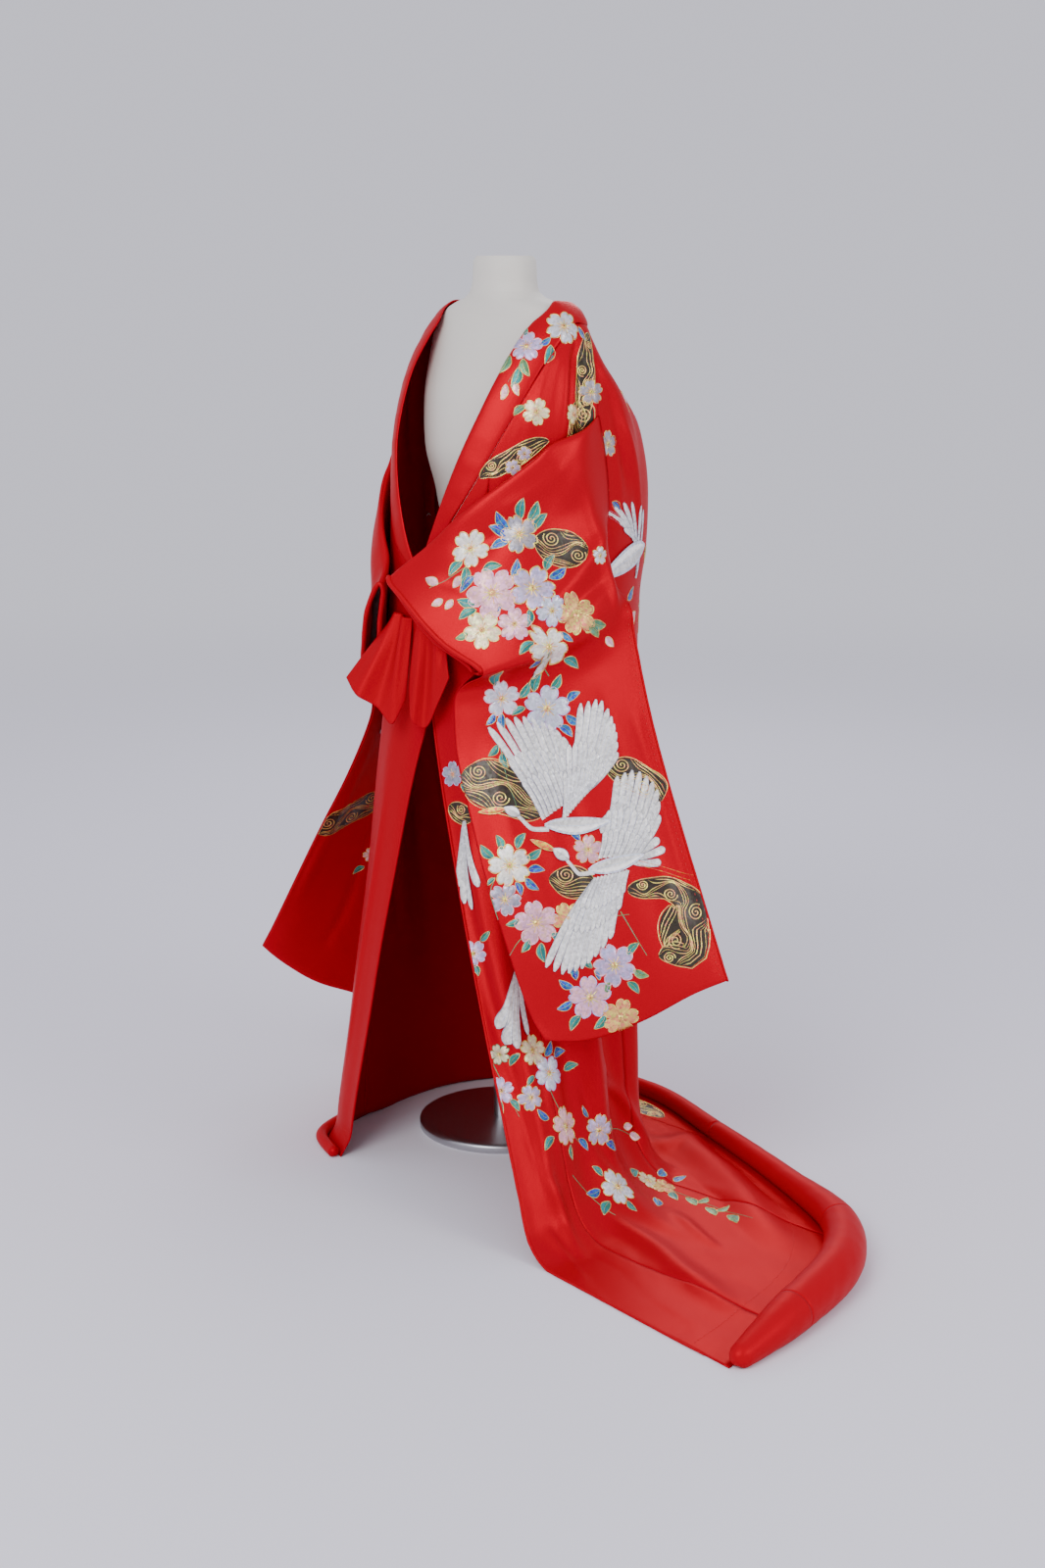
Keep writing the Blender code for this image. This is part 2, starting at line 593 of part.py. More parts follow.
def build_tuck(name, table, material):
    """A front edge turned back on itself, hanging in folds from the waist."""
    values = curve_columns(table, np.linspace(0, len(table) - 1, TUCK_STEPS + 1))
    grid = []
    for angle, height, out, x, y, z in zip(*values):
        seat = body_point(angle, height)
        outward = np.array((math.sin(math.radians(angle)), -math.cos(math.radians(angle)), 0))
        top = seat + outward * out
        grid.append([top + (np.array((x, y, z)) - top) * s for s in np.linspace(0, 1, TUCK_ROWS + 1)])
    grid = np.array(grid)
    wall_object(name, grid, grid - grid_normals(grid) * TUCK_WALL, material)


def build_turned(name, sections, material):
    """A closed solid through level sections: height, half width, front, back, centre x."""
    steps = FORM_STEPS
    points = []
    for height, half, front, back, centre in sections:
        for i in range(steps):
            turn = 2 * math.pi * i / steps
            depth = front if math.cos(turn) > 0 else back
            points.append((centre + half * math.sin(turn), -depth * math.cos(turn), height))
    faces = [tuple(range(steps))[::-1]]
    for i in range(len(sections) - 1):
        for j in range(steps):
            a, b = i * steps + j, i * steps + (j + 1) % steps
            faces.append((a, b, b + steps, a + steps))
    faces.append(tuple((len(sections) - 1) * steps + j for j in range(steps)))
    return add_object(name, points, faces, material)


def round_sections(pairs):
    return [(height, radius, radius, radius, 0.0) for height, radius in pairs]


def build_form():
    satin = make_material("ivory form cover", IVORY, 0.45)
    metal = make_material("satin steel", STEEL, 0.35, 1.0)
    build_turned("form_torso", FORM_SECTIONS, satin)
    pole_top = FORM_SECTIONS[0][0] - GAP
    pole = round_sections(((BASE_HEIGHT + GAP, POLE_RADIUS), (pole_top, POLE_RADIUS)))
    build_turned("stand_pole", pole, metal)
    base = (
        (FLOOR, BASE_RADIUS),
        (BASE_HEIGHT * 0.6, BASE_RADIUS),
        (BASE_HEIGHT * 0.9, BASE_RADIUS - 0.006),
        (BASE_HEIGHT, BASE_RADIUS - 0.020),
    )
    build_turned("stand_base", round_sections(base), metal)


def main():
    clear_scene()
    cloth = make_material("red satin", RED, 0.35)
    lining = make_material("red silk lining", DEEP_RED, 0.5)
    grid, rolls, lying = body_grid()
    normals = grid_normals(grid)
    build_panels(grid, normals, cloth)
    build_collar(grid, normals, cloth)
    build_hem_rolls(grid, rolls, lying, lining)
    left, right = line_column("left_side"), line_column("right_side")
    build_sleeve("sleeve_left", LEFT_SLEEVE, 1, grid, normals, left, cloth)
    build_sleeve("sleeve_right", RIGHT_SLEEVE, -1, grid, normals, right, cloth)
    for name, table in TUCKS.items():
        build_tuck(name, table, lining)
    build_form()


main()
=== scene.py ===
"""Looks for a wedding over-robe of red satin, worn by a limbless form on a round stand.

Every cloth piece is a thin shell on the surface that its solid has, with seams, creases and
woven motifs laid on it. Metres, +Z up, the wearer faces -Y and the wearer's left is +X.
"""

import logging
import math
from dataclasses import dataclass, field
from enum import Enum

import bmesh
import bpy
import numpy as np
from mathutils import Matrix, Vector


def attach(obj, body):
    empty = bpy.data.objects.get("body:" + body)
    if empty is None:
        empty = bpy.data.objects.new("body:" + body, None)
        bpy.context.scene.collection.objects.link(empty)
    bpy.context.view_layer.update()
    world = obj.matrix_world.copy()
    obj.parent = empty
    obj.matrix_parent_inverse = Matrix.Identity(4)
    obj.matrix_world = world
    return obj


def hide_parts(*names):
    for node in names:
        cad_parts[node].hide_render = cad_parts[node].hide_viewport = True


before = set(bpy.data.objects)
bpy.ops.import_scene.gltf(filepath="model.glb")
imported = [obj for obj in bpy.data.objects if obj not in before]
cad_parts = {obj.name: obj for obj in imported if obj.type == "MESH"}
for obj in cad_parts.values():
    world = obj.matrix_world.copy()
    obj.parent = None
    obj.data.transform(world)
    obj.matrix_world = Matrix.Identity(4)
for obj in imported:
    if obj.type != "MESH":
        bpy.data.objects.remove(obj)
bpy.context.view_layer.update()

Array = np.ndarray
Colour = tuple[float, float, float]
Place = tuple[float, float]
Finishes = dict[str, bpy.types.Material]
log = logging.getLogger("robe")

GAP = 0.0003
SEAM_GAP = GAP * 0.6
WALL = 0.0022
SHELL = 0.0015
FLOOR = 0.0
BODY_CENTRE_X = 0.010
WAIST_Z = 0.950

BODY_SECTIONS = (
    # height, half width on the left, on the right, depth in front, depth behind
    (0.600, 0.190, 0.170, 0.205, 0.190),
    (0.780, 0.193, 0.172, 0.203, 0.206),
    (0.870, 0.196, 0.174, 0.202, 0.226),
    (0.950, 0.197, 0.175, 0.200, 0.248),
    (1.000, 0.198, 0.175, 0.198, 0.260),
    (1.100, 0.200, 0.177, 0.192, 0.268),
    (1.200, 0.200, 0.180, 0.181, 0.246),
    (1.270, 0.197, 0.183, 0.158, 0.190),
    (1.310, 0.191, 0.182, 0.138, 0.135),
    (1.360, 0.177, 0.172, 0.100, 0.106),
    (1.400, 0.154, 0.152, 0.058, 0.098),
    (1.420, 0.126, 0.124, 0.032, 0.082),
)

LINES = (
    # name, neck angle, neck z, waist angle, drop, power, land x, land y, hem x, hem y, roll, bend
    ("left_edge", 7, 1.000, 14, 0.15, 1.25, 0.473, -0.326, 0.890, -0.333, 0.016, 0.06),
    ("left_okumi_seam", 28, 1.199, 42, 0.10, 1.20, 0.452, -0.215, 0.850, -0.188, 0.032, 0.16),
    ("left_front", 50, 1.386, 66, 0.05, 1.20, 0.395, -0.100, 0.798, -0.040, 0.035, 0.26),
    ("left_side", 90, 1.420, 93, 0.00, 1.15, 0.300, 0.025, 0.692, 0.086, 0.029, 0.26),
    ("left_back", 135, 1.416, 137, 0.00, 1.05, 0.160, 0.122, 0.515, 0.162, 0.020, 0.20),
    ("centre_back", 180, 1.405, 180, 0.00, 1.00, 0.055, 0.200, 0.295, 0.226, 0.017, 0.16),
    ("right_back", 225, 1.416, 223, 0.00, 1.00, -0.055, 0.225, 0.080, 0.276, 0.015, 0.12),
    ("right_side", 270, 1.420, 267, 0.00, 1.00, -0.160, 0.155, -0.115, 0.240, 0.013, 0.08),
    ("right_front", 325, 1.385, 300, 0.00, 1.00, -0.200, -0.020, -0.222, 0.040, 0.012, 0.05),
    ("right_okumi_seam", 340, 1.170, 326, 0.00, 1.00, -0.168, -0.180, -0.184, -0.160, 0.011, 0.02),
    ("right_strip", 353, 1.072, 347, 0.15, 0.90, -0.128, -0.272, -0.134, -0.281, 0.010, 0.01),
    ("right_edge", 364, 1.010, 372, 0.20, 0.85, -0.052, -0.300, -0.054, -0.310, 0.010, 0.01),
)
LINE_STEPS = 5
COLLAR_ROWS = 3
UPPER_ROWS = 9
LOWER_ROWS = 23

PANELS = (
    # name, first line, last line, cut width, cut length
    ("okumi_left", "left_edge", "left_okumi_seam", 0.15, 1.58),
    ("front_left", "left_okumi_seam", "left_side", 0.30, 1.74),
    ("back_left", "left_side", "centre_back", 0.34, 1.74),
    ("back_right", "centre_back", "right_side", 0.34, 1.58),
    ("front_right", "right_side", "right_okumi_seam", 0.30, 1.42),
    ("okumi_right", "right_okumi_seam", "right_edge", 0.18, 1.16),
)

FOLDS = (
    # line, half width in lines, depth, top row, full row, end row
    (0.55, 0.35, 0.012, 13, 20, 33),
    (1.45, 0.40, -0.014, 12, 20, 33),
    (2.05, 0.38, 0.024, 12, 22, 34),
    (2.65, 0.36, -0.018, 13, 22, 33),
    (3.25, 0.40, 0.030, 12, 24, 34),
    (4.15, 0.40, 0.020, 13, 22, 33),
    (4.75, 0.35, -0.016, 12, 20, 31),
    (5.45, 0.42, 0.022, 13, 22, 33),
    (6.30, 0.42, 0.020, 12, 22, 32),
    (7.10, 0.40, -0.014, 12, 20, 30),
    (7.80, 0.40, 0.018, 12, 22, 31),
    (8.70, 0.40, 0.012, 13, 22, 31),
    (2.20, 0.32, 0.009, 3, 6, 10),
    (2.60, 0.32, -0.010, 3, 6, 10),
    (3.50, 0.30, 0.012, 3, 6, 11),
    (4.45, 0.35, -0.012, 4, 8, 13),
    (5.60, 0.35, 0.010, 4, 8, 13),
    (6.50, 0.30, 0.012, 3, 6, 11),
    (7.60, 0.32, 0.010, 3, 6, 10),
)

ARMHOLE_HALF_WIDTHS = {8: 0.012, 9: 0.022, 10: 0.025, 11: 0.014}
ARMHOLE_TOP_ROW = 7
COLLAR_WIDTH = 0.052
COLLAR_END_WIDTH = 0.010
SEAM_SMOOTHING = 6
WALK_STEPS = 12
FALL_STEPS = 80
FLOOR_STEPS = 40
PATH_STEPS = 160
UPPER_ROW_GROWTH = 1.3

ROLL_CLEARANCE = 0.0012
FLAT_LENGTH = 0.023
ROLL_SINK = 0.85
ROLL_FACET_TURN = 0.574
ROLL_FACET_RISE = 0.423
ROLL_AROUND = 28
ROLL_END_SIZES = (0.98, 0.9, 0.72)
ROLL_TIP_SIZE = 0.35

LEFT_SLEEVE = (
    # wrist x, y, z, open side x, y, z, depth at wrist, depth at open side, bow
    (0.042, -0.262, 0.985, 0.214, -0.010, 1.235, 0.020, 0.016, 0.010),
    (0.085, -0.262, 0.960, 0.232, 0.010, 1.170, 0.044, 0.030, 0.034),
    (0.150, -0.246, 0.903, 0.248, 0.030, 1.070, 0.048, 0.044, 0.046),
    (0.222, -0.218, 0.860, 0.270, 0.040, 0.960, 0.034, 0.052, 0.040),
    (0.164, -0.226, 0.822, 0.292, 0.040, 0.880, 0.0047, 0.054, 0.030),
    (0.172, -0.236, 0.760, 0.322, 0.036, 0.800, 0.0047, 0.054, 0.024),
    (0.215, -0.247, 0.665, 0.365, 0.030, 0.710, 0.0047, 0.050, 0.020),
    (0.281, -0.258, 0.540, 0.432, 0.022, 0.585, 0.0047, 0.040, 0.018),
    (0.336, -0.255, 0.428, 0.488, 0.016, 0.485, 0.0047, 0.028, 0.014),
    (0.372, -0.248, 0.352, 0.522, 0.014, 0.418, 0.0047, 0.016, 0.010),
    (0.392, -0.238, 0.318, 0.534, 0.014, 0.395, 0.0047, 0.0070, 0.006),
)
RIGHT_SLEEVE = (
    (-0.026, -0.240, 0.968, -0.170, -0.010, 1.235, 0.014, 0.012, 0.000),
    (-0.048, -0.240, 0.935, -0.186, 0.010, 1.170, 0.024, 0.024, 0.004),
    (-0.072, -0.230, 0.885, -0.198, 0.030, 1.070, 0.028, 0.036, 0.006),
    (-0.098, -0.214, 0.835, -0.214, 0.044, 0.960, 0.022, 0.044, 0.008),
    (-0.118, -0.186, 0.780, -0.226, 0.050, 0.860, 0.0047, 0.048, 0.010),
    (-0.150, -0.168, 0.720, -0.240, 0.052, 0.760, 0.0047, 0.050, 0.012),
    (-0.206, -0.176, 0.620, -0.262, 0.052, 0.640, 0.0047, 0.048, 0.014),
    (-0.278, -0.194, 0.500, -0.288, 0.046, 0.480, 0.0047, 0.042, 0.014),
    (-0.340, -0.214, 0.385, -0.306, 0.034, 0.320, 0.0047, 0.030, 0.012),
    (-0.374, -0.226, 0.320, -0.312, 0.020, 0.200, 0.0047, 0.016, 0.010),
    (-0.393, -0.235, 0.283, -0.316, 0.012, 0.134, 0.0047, 0.0070, 0.006),
)
BODY_CLEARANCE = 0.008
SLEEVE_STEPS = 12
SLEEVE_PLACES = (0, 0.75, 1.4, 2.1, 2.7, 3.1, 3.6, 4.1, 4.7, 5.4, 6.1, 6.9, 7.7, 8.5, 9.2, 10)
ARMHOLE_SEAM_ROWS = 5
ARMHOLE_LAP = 0.004
CROWN_RISE = 0.009
BOTTOM_SAG = 0.026

TUCKS = {
    "tuck_right": (
        # top angle, height, out, bottom x, y, z
        (-11.5, 0.926, 0.0017, -0.072, -0.268, 0.820),
        (-8.5, 0.928, 0.0107, -0.040, -0.274, 0.798),
        (-4.5, 0.926, 0.0037, -0.012, -0.250, 0.776),
        (-0.5, 0.924, 0.0117, 0.018, -0.244, 0.752),
        (3.5, 0.922, 0.0017, 0.028, -0.222, 0.792),
    ),
    "tuck_left": (
        (6.0, 0.921, 0.0019, 0.040, -0.224, 0.815),
        (10.0, 0.919, 0.0109, 0.060, -0.236, 0.765),
        (14.5, 0.915, 0.0039, 0.076, -0.222, 0.752),
        (19.0, 0.910, 0.0089, 0.104, -0.214, 0.800),
        (23.0, 0.905, 0.0019, 0.120, -0.206, 0.838),
    ),
}
TUCK_SWELL = 0.0012
TUCK_SHELL = 0.0026
TUCK_STEPS = 10
TUCK_ROWS = 5

FORM_SECTIONS = (
    # height, half width, depth in front, depth behind, centre x
    (0.760, 0.120, 0.085, 0.100, 0.010),
    (0.764, 0.135, 0.095, 0.112, 0.010),
    (0.850, 0.150, 0.100, 0.120, 0.010),
    (0.930, 0.142, 0.096, 0.108, 0.010),
    (1.030, 0.122, 0.088, 0.088, 0.010),
    (1.110, 0.130, 0.100, 0.090, 0.010),
    (1.190, 0.148, 0.118, 0.096, 0.010),
    (1.260, 0.160, 0.110, 0.100, 0.010),
    (1.310, 0.1660, 0.092, 0.098, 0.010),
    (1.360, 0.1653, 0.071, 0.091, 0.010),
    (1.385, 0.1553, 0.059, 0.083, 0.010),
    (1.400, 0.1443, 0.051, 0.079, 0.010),
    (1.410, 0.1270, 0.049, 0.075, 0.009),
    (1.418, 0.1030, 0.048, 0.070, 0.008),
    (1.424, 0.0780, 0.048, 0.064, 0.007),
    (1.434, 0.0600, 0.047, 0.060, 0.006),
    (1.450, 0.0540, 0.045, 0.058, 0.006),
    (1.482, 0.0520, 0.043, 0.057, 0.006),
    (1.490, 0.0470, 0.038, 0.052, 0.006),
)
TUBE_AROUND = 14
TUBE_ASIDE = (0.31, 0.2, 0.93)
FORM_AROUND = 96
FORM_LEVELS = 90
FORM_GIRTH_SCALE = 0.12
POLE_LEVELS = 12
SHARP_ANGLE = 50
STITCH_LIFT = 0.0003
HEM_STITCH_ROWS = 8
POLE_RADIUS = 0.014
BASE_RADIUS = 0.145
BASE_HEIGHT = 0.016

FLOOR_COLOUR = (0.80, 0.79, 0.86)
FLOOR_REACH = 40.0
FLOOR_FADE = (2.2, 7.0)
SKY_COLOUR = (0.80, 0.79, 0.90)
SKY_STRENGTH = 1.0
LAMPS = (
    # name, place, aim, size, power
    ("key lamp", (1.4, -3.2, 3.0), (0.1, -0.05, 0.8), 2.2, 90),
    ("side lamp", (3.6, 0.8, 2.2), (0.3, 0.0, 0.6), 1.6, 40),
    ("rim lamp", (-2.4, 2.6, 2.8), (0.1, 0.0, 0.9), 1.8, 30),
)
LENS_LENGTH = 50
SENSOR_WIDTH = 36
PHOTO_CENTRE = (533.0, 800.0)
FOCAL = 2222.2
CAMERA_PLACE = (2.79703717, -2.29944793, 1.45)
CAMERA_FORWARD = (-0.74641077, 0.626313, -0.22495105)


def smooth_curve(knots: Array, values: Array, wanted: Array) -> Array:
    """Values at the wanted places on a curve through the knots, with no overshoot.

    Args:
        knots: the places where the values are known, in rising order.
        values: the value at each knot.
        wanted: the places to read the curve at.

    Returns:
        One value for each wanted place.
    """
    knots = np.asarray(knots, float)
    values = np.asarray(values, float)
    steps = np.diff(knots)
    rises = np.diff(values) / steps
    slopes = np.zeros(len(knots))
    slopes[0], slopes[-1] = rises[0], rises[-1]
    for i in range(1, len(knots) - 1):
        if rises[i - 1] * rises[i] > 0:
            before, after = 2 * steps[i] + steps[i - 1], steps[i] + 2 * steps[i - 1]
            slopes[i] = (before + after) / (before / rises[i - 1] + after / rises[i])
    wanted = np.asarray(wanted, float)
    at = np.clip(np.searchsorted(knots, wanted, side="right") - 1, 0, len(steps) - 1)
    share = (wanted - knots[at]) / steps[at]
    run = steps[at]
    return (
        values[at] * (1 + 2 * share) * (1 - share) ** 2
        + slopes[at] * run * share * (1 - share) ** 2
        + values[at + 1] * share**2 * (3 - 2 * share)
        + slopes[at + 1] * run * share**2 * (share - 1)
    )


def curve_columns(rows: tuple, wanted: Array) -> list[Array]:
    """Each column of a table, followed along its rows.

    Args:
        rows: the table, as equally long rows of numbers.
        wanted: places along the rows, the first row being 0.

    Returns:
        One array of values for each column.
    """
    table = np.asarray(rows, float)
    knots = np.arange(len(table))
    return [smooth_curve(knots, column, wanted) for column in table.T]


def smooth_share(value: Array) -> Array:
    """A share from 0 to 1 with soft ends.

    Args:
        value: one or more numbers, which may pass 0 or 1.

    Returns:
        The eased share of each.
    """
    value = np.clip(value, 0.0, 1.0)
    return value**2 * (3 - 2 * value)


def grid_normals(grid: Array, closed_rows: bool = False) -> Array:
    """Unit normals of a grid of points, on the outer side of the cloth.

    Args:
        grid: points as columns, rows and xyz.
        closed_rows: whether the last row runs on into the first.

    Returns:
        One normal for each point.
    """
    if closed_rows:
        along = np.roll(grid, -1, axis=1) - np.roll(grid, 1, axis=1)
    else:
        along = np.gradient(grid, axis=1)
    across = np.gradient(grid, axis=0)
    return unit(np.cross(along, across))


def unit(vectors: Array) -> Array:
    """The same vectors with a length of one, along the last axis."""
    return vectors / np.maximum(np.linalg.norm(vectors, axis=-1, keepdims=True), 1e-12)


def lengths_along(path: Array) -> Array:
    """Metres from a path's first point to each of its points."""
    return np.concatenate([[0], np.cumsum(np.linalg.norm(np.diff(path, axis=0), axis=1))])


def lengths_so_far(path: Array) -> Array:
    """Metres along a path, each point with the mean of the steps beside it."""
    return np.cumsum(np.linalg.norm(np.gradient(path, axis=0), axis=1))


def flat_places(across: Array, down: Array) -> Array:
    """Every pair of two lists of lengths, as UV places of a grid of points."""
    return np.stack(np.meshgrid(across, down, indexing="ij"), axis=-1).reshape(-1, 2)


def shift_edge(grid: Array, edge: int, beside: int, distance: float) -> None:
    """Moves one line of a grid, in place, towards another.

    Args:
        grid: lines of points.
        edge: the line that moves.
        beside: the line that it moves towards, or away from if the distance is below nought.
        distance: in metres.
    """
    grid[edge] += unit(grid[beside] - grid[edge]) * distance


def refined(points: Array, factor: int, axis: int, closed: bool = False) -> Array:
    """A grid with more points on the smooth curves through its own ones.

    Args:
        points: the grid.
        factor: how many steps each old step becomes.
        axis: the axis to refine.
        closed: whether the grid's end runs on into its start along that axis.

    Returns:
        The finer grid.
    """
    points = np.moveaxis(points, axis, 0)
    if closed:
        padded = np.concatenate([points[-1:], points, points[:2]])
        spans = len(points)
    else:
        before = 2 * points[:1] - points[1:2]
        after = 2 * points[-1:] - points[-2:-1]
        padded = np.concatenate([before, points, after])
        spans = len(points) - 1
    a, b, c, d = (padded[i : i + spans] for i in range(4))
    parts = []
    for step in range(factor):
        t = step / factor
        bend = t * (2 * a - 5 * b + 4 * c - d + t * (3 * (b - c) + d - a))
        parts.append(b + 0.5 * t * (c - a + bend))
    result = np.stack(parts, axis=1).reshape(spans * factor, *points.shape[1:])
    if not closed:
        result = np.concatenate([result, points[-1:]])
    return np.moveaxis(result, 0, axis)


def line_column(name: str) -> int:
    """The grid column of a named warp line."""
    return [line[0] for line in LINES].index(name) * LINE_STEPS


class WornBody:
    """The robe's body as one surface, from the collar's edge down to the hem."""

    def point(self, angle: float, height: float) -> Array:
        """The worn body's surface at an angle in degrees and a height.

        Args:
            angle: turned from the front to the wearer's left.
            height: metres above the floor.

        Returns:
            The point.
        """
        table = np.asarray(BODY_SECTIONS)
        left, right, front, back = (smooth_curve(table[:, 0], column, height) for column in table.T[1:])
        turn = math.radians(angle)
        half = left if math.sin(turn) > 0 else right
        depth = front if math.cos(turn) > 0 else back
        return np.array((BODY_CENTRE_X + half * math.sin(turn), -depth * math.cos(turn), height))

    def walked(self, angle: float, height: float, direction: Array, distance: float) -> tuple[float, float]:
        """Where a walk over the body ends.

        Args:
            angle: where it starts, in degrees.
            height: where it starts, in metres.
            direction: a unit vector.
            distance: in metres.

        Returns:
            The angle and the height reached.
        """
        for _ in range(WALK_STEPS):
            here = self.point(angle, height)
            by_angle = (self.point(angle + 0.5, height) - here) / 0.5
            by_height = (here - self.point(angle, height - 0.002)) / 0.002
            axes = np.stack([by_angle, by_height], axis=1)
            turn, rise = np.linalg.lstsq(axes, direction * distance / WALK_STEPS, rcond=None)[0]
            angle += turn
            height = min(height + rise, BODY_SECTIONS[-1][0])
        return angle, height

    def collar_seams(self, angles: Array, heights: Array) -> Array:
        """Where the collar's outer edge crosses each warp line.

        Args:
            angles: of the collar's inner edge on each line.
            heights: of the same.

        Returns:
            An angle and a height for each line.
        """
        edge = np.array([self.point(a, z) for a, z in zip(angles, heights)])
        run = np.gradient(edge, axis=0)
        last = len(edge) - 1
        found = []
        for i, (angle, height) in enumerate(zip(angles, heights)):
            by_angle = self.point(angle + 0.5, height) - edge[i]
            by_height = edge[i] - self.point(angle, height - 0.002)
            aside = np.cross(run[i], np.cross(by_angle, by_height))
            aside /= np.linalg.norm(aside)
            from_end = min(i, last - i) / LINE_STEPS
            width = COLLAR_END_WIDTH + (COLLAR_WIDTH - COLLAR_END_WIDTH) * smooth_share(from_end)
            found.append(self.walked(angle, height, aside, width))
        found = np.array(found)
        for _ in range(SEAM_SMOOTHING):
            found[1:-1] = (found[:-2] + 2 * found[1:-1] + found[2:]) / 4
        return found

    def hanging_line(self, waist: Array, drop: float, power: float, land: tuple, hem: tuple,
                     bend: float) -> Array:
        """Points down one warp line from below the waist to the floor, then on to the hem.

        Args:
            waist: where the line leaves the body.
            drop: the share of the fall before it swings out.
            power: how the swing grows.
            land: x and y where it meets the floor.
            hem: x and y of its end.
            bend: the length over which it turns to lie.

        Returns:
            The points.
        """
        land = np.array((land[0], land[1], FLOOR))
        hem = np.array((hem[0], hem[1], FLOOR))
        path = []
        for fall in np.linspace(0, 1, FALL_STEPS + 1):
            out = max(0.0, (fall - drop) / (1 - drop)) ** power
            flat = waist + (land - waist) * out
            path.append((flat[0], flat[1], WAIST_Z * (1 - fall)))
        for share in np.linspace(0, 1, FLOOR_STEPS + 1)[1:]:
            path.append(tuple(land + (hem - land) * share))
        path = np.array(path)
        lengths = lengths_along(path)
        even = np.linspace(0, lengths[-1], PATH_STEPS + 1)
        path = np.stack([np.interp(even, lengths, path[:, i]) for i in range(3)], axis=1)
        reach = max(1, round(bend / 2 / (lengths[-1] / PATH_STEPS)))
        rounded = path.copy()
        for i in range(PATH_STEPS + 1):
            near = min(reach, i, PATH_STEPS - i)
            rounded[i] = path[i - near : i + near + 1].mean(axis=0)
        picks = np.linspace(0, PATH_STEPS, LOWER_ROWS + 1)[1:]
        numbers = np.arange(PATH_STEPS + 1)
        return np.stack([np.interp(picks, numbers, rounded[:, i]) for i in range(3)], axis=1)

    def fold_heights(self, places: Array, rows: int) -> Array:
        """How far the large folds push each grid point out.

        Args:
            places: the line number of each column.
            rows: how many rows there are.

        Returns:
            A height for each column and row.
        """
        lines = np.asarray(places)[:, None]
        row = np.arange(rows)[None, :]
        total = np.zeros((len(places), rows))
        for centre, half, depth, top, full, end in FOLDS:
            across = smooth_share(1 - np.abs(lines - centre) / half)
            rise = smooth_share((row - top) / (full - top))
            fade = smooth_share((end - row) / (end - full))
            total += depth * across * rise * fade
        return total

    def grid(self) -> tuple[Array, Array, Array]:
        """The surface at the solids' own resolution.

        Returns:
            The points, the hem roll's radius on each column, and the length that lies on the floor.
        """
        places = np.linspace(0, len(LINES) - 1, (len(LINES) - 1) * LINE_STEPS + 1)
        table = curve_columns([line[1:] for line in LINES], places)
        angles, heights, waists, drops, powers, land_x, land_y, hem_x, hem_y, rolls, bends = table
        seams = self.collar_seams(angles, heights)
        grid = []
        for i, (seam_angle, seam_z) in enumerate(seams):
            line = []
            for share in np.linspace(0, 1, COLLAR_ROWS + 1):
                angle = angles[i] + (seam_angle - angles[i]) * share
                line.append(self.point(angle, heights[i] + (seam_z - heights[i]) * share))
            for share in np.linspace(0, 1, UPPER_ROWS + 1)[1:] ** UPPER_ROW_GROWTH:
                angle = seam_angle + (waists[i] - seam_angle) * share
                line.append(self.point(angle, seam_z + (WAIST_Z - seam_z) * share))
            land, hem = (land_x[i], land_y[i]), (hem_x[i], hem_y[i])
            lower = self.hanging_line(line[-1], drops[i], powers[i], land, hem, bends[i])
            grid.append(np.concatenate([line, lower]))
        grid = np.array(grid)
        grid = grid + grid_normals(grid) * self.fold_heights(places, grid.shape[1])[:, :, None]
        grid[:, :, 2] = np.maximum(grid[:, :, 2], FLOOR + WALL)
        return grid, rolls, np.hypot(hem_x - land_x, hem_y - land_y)


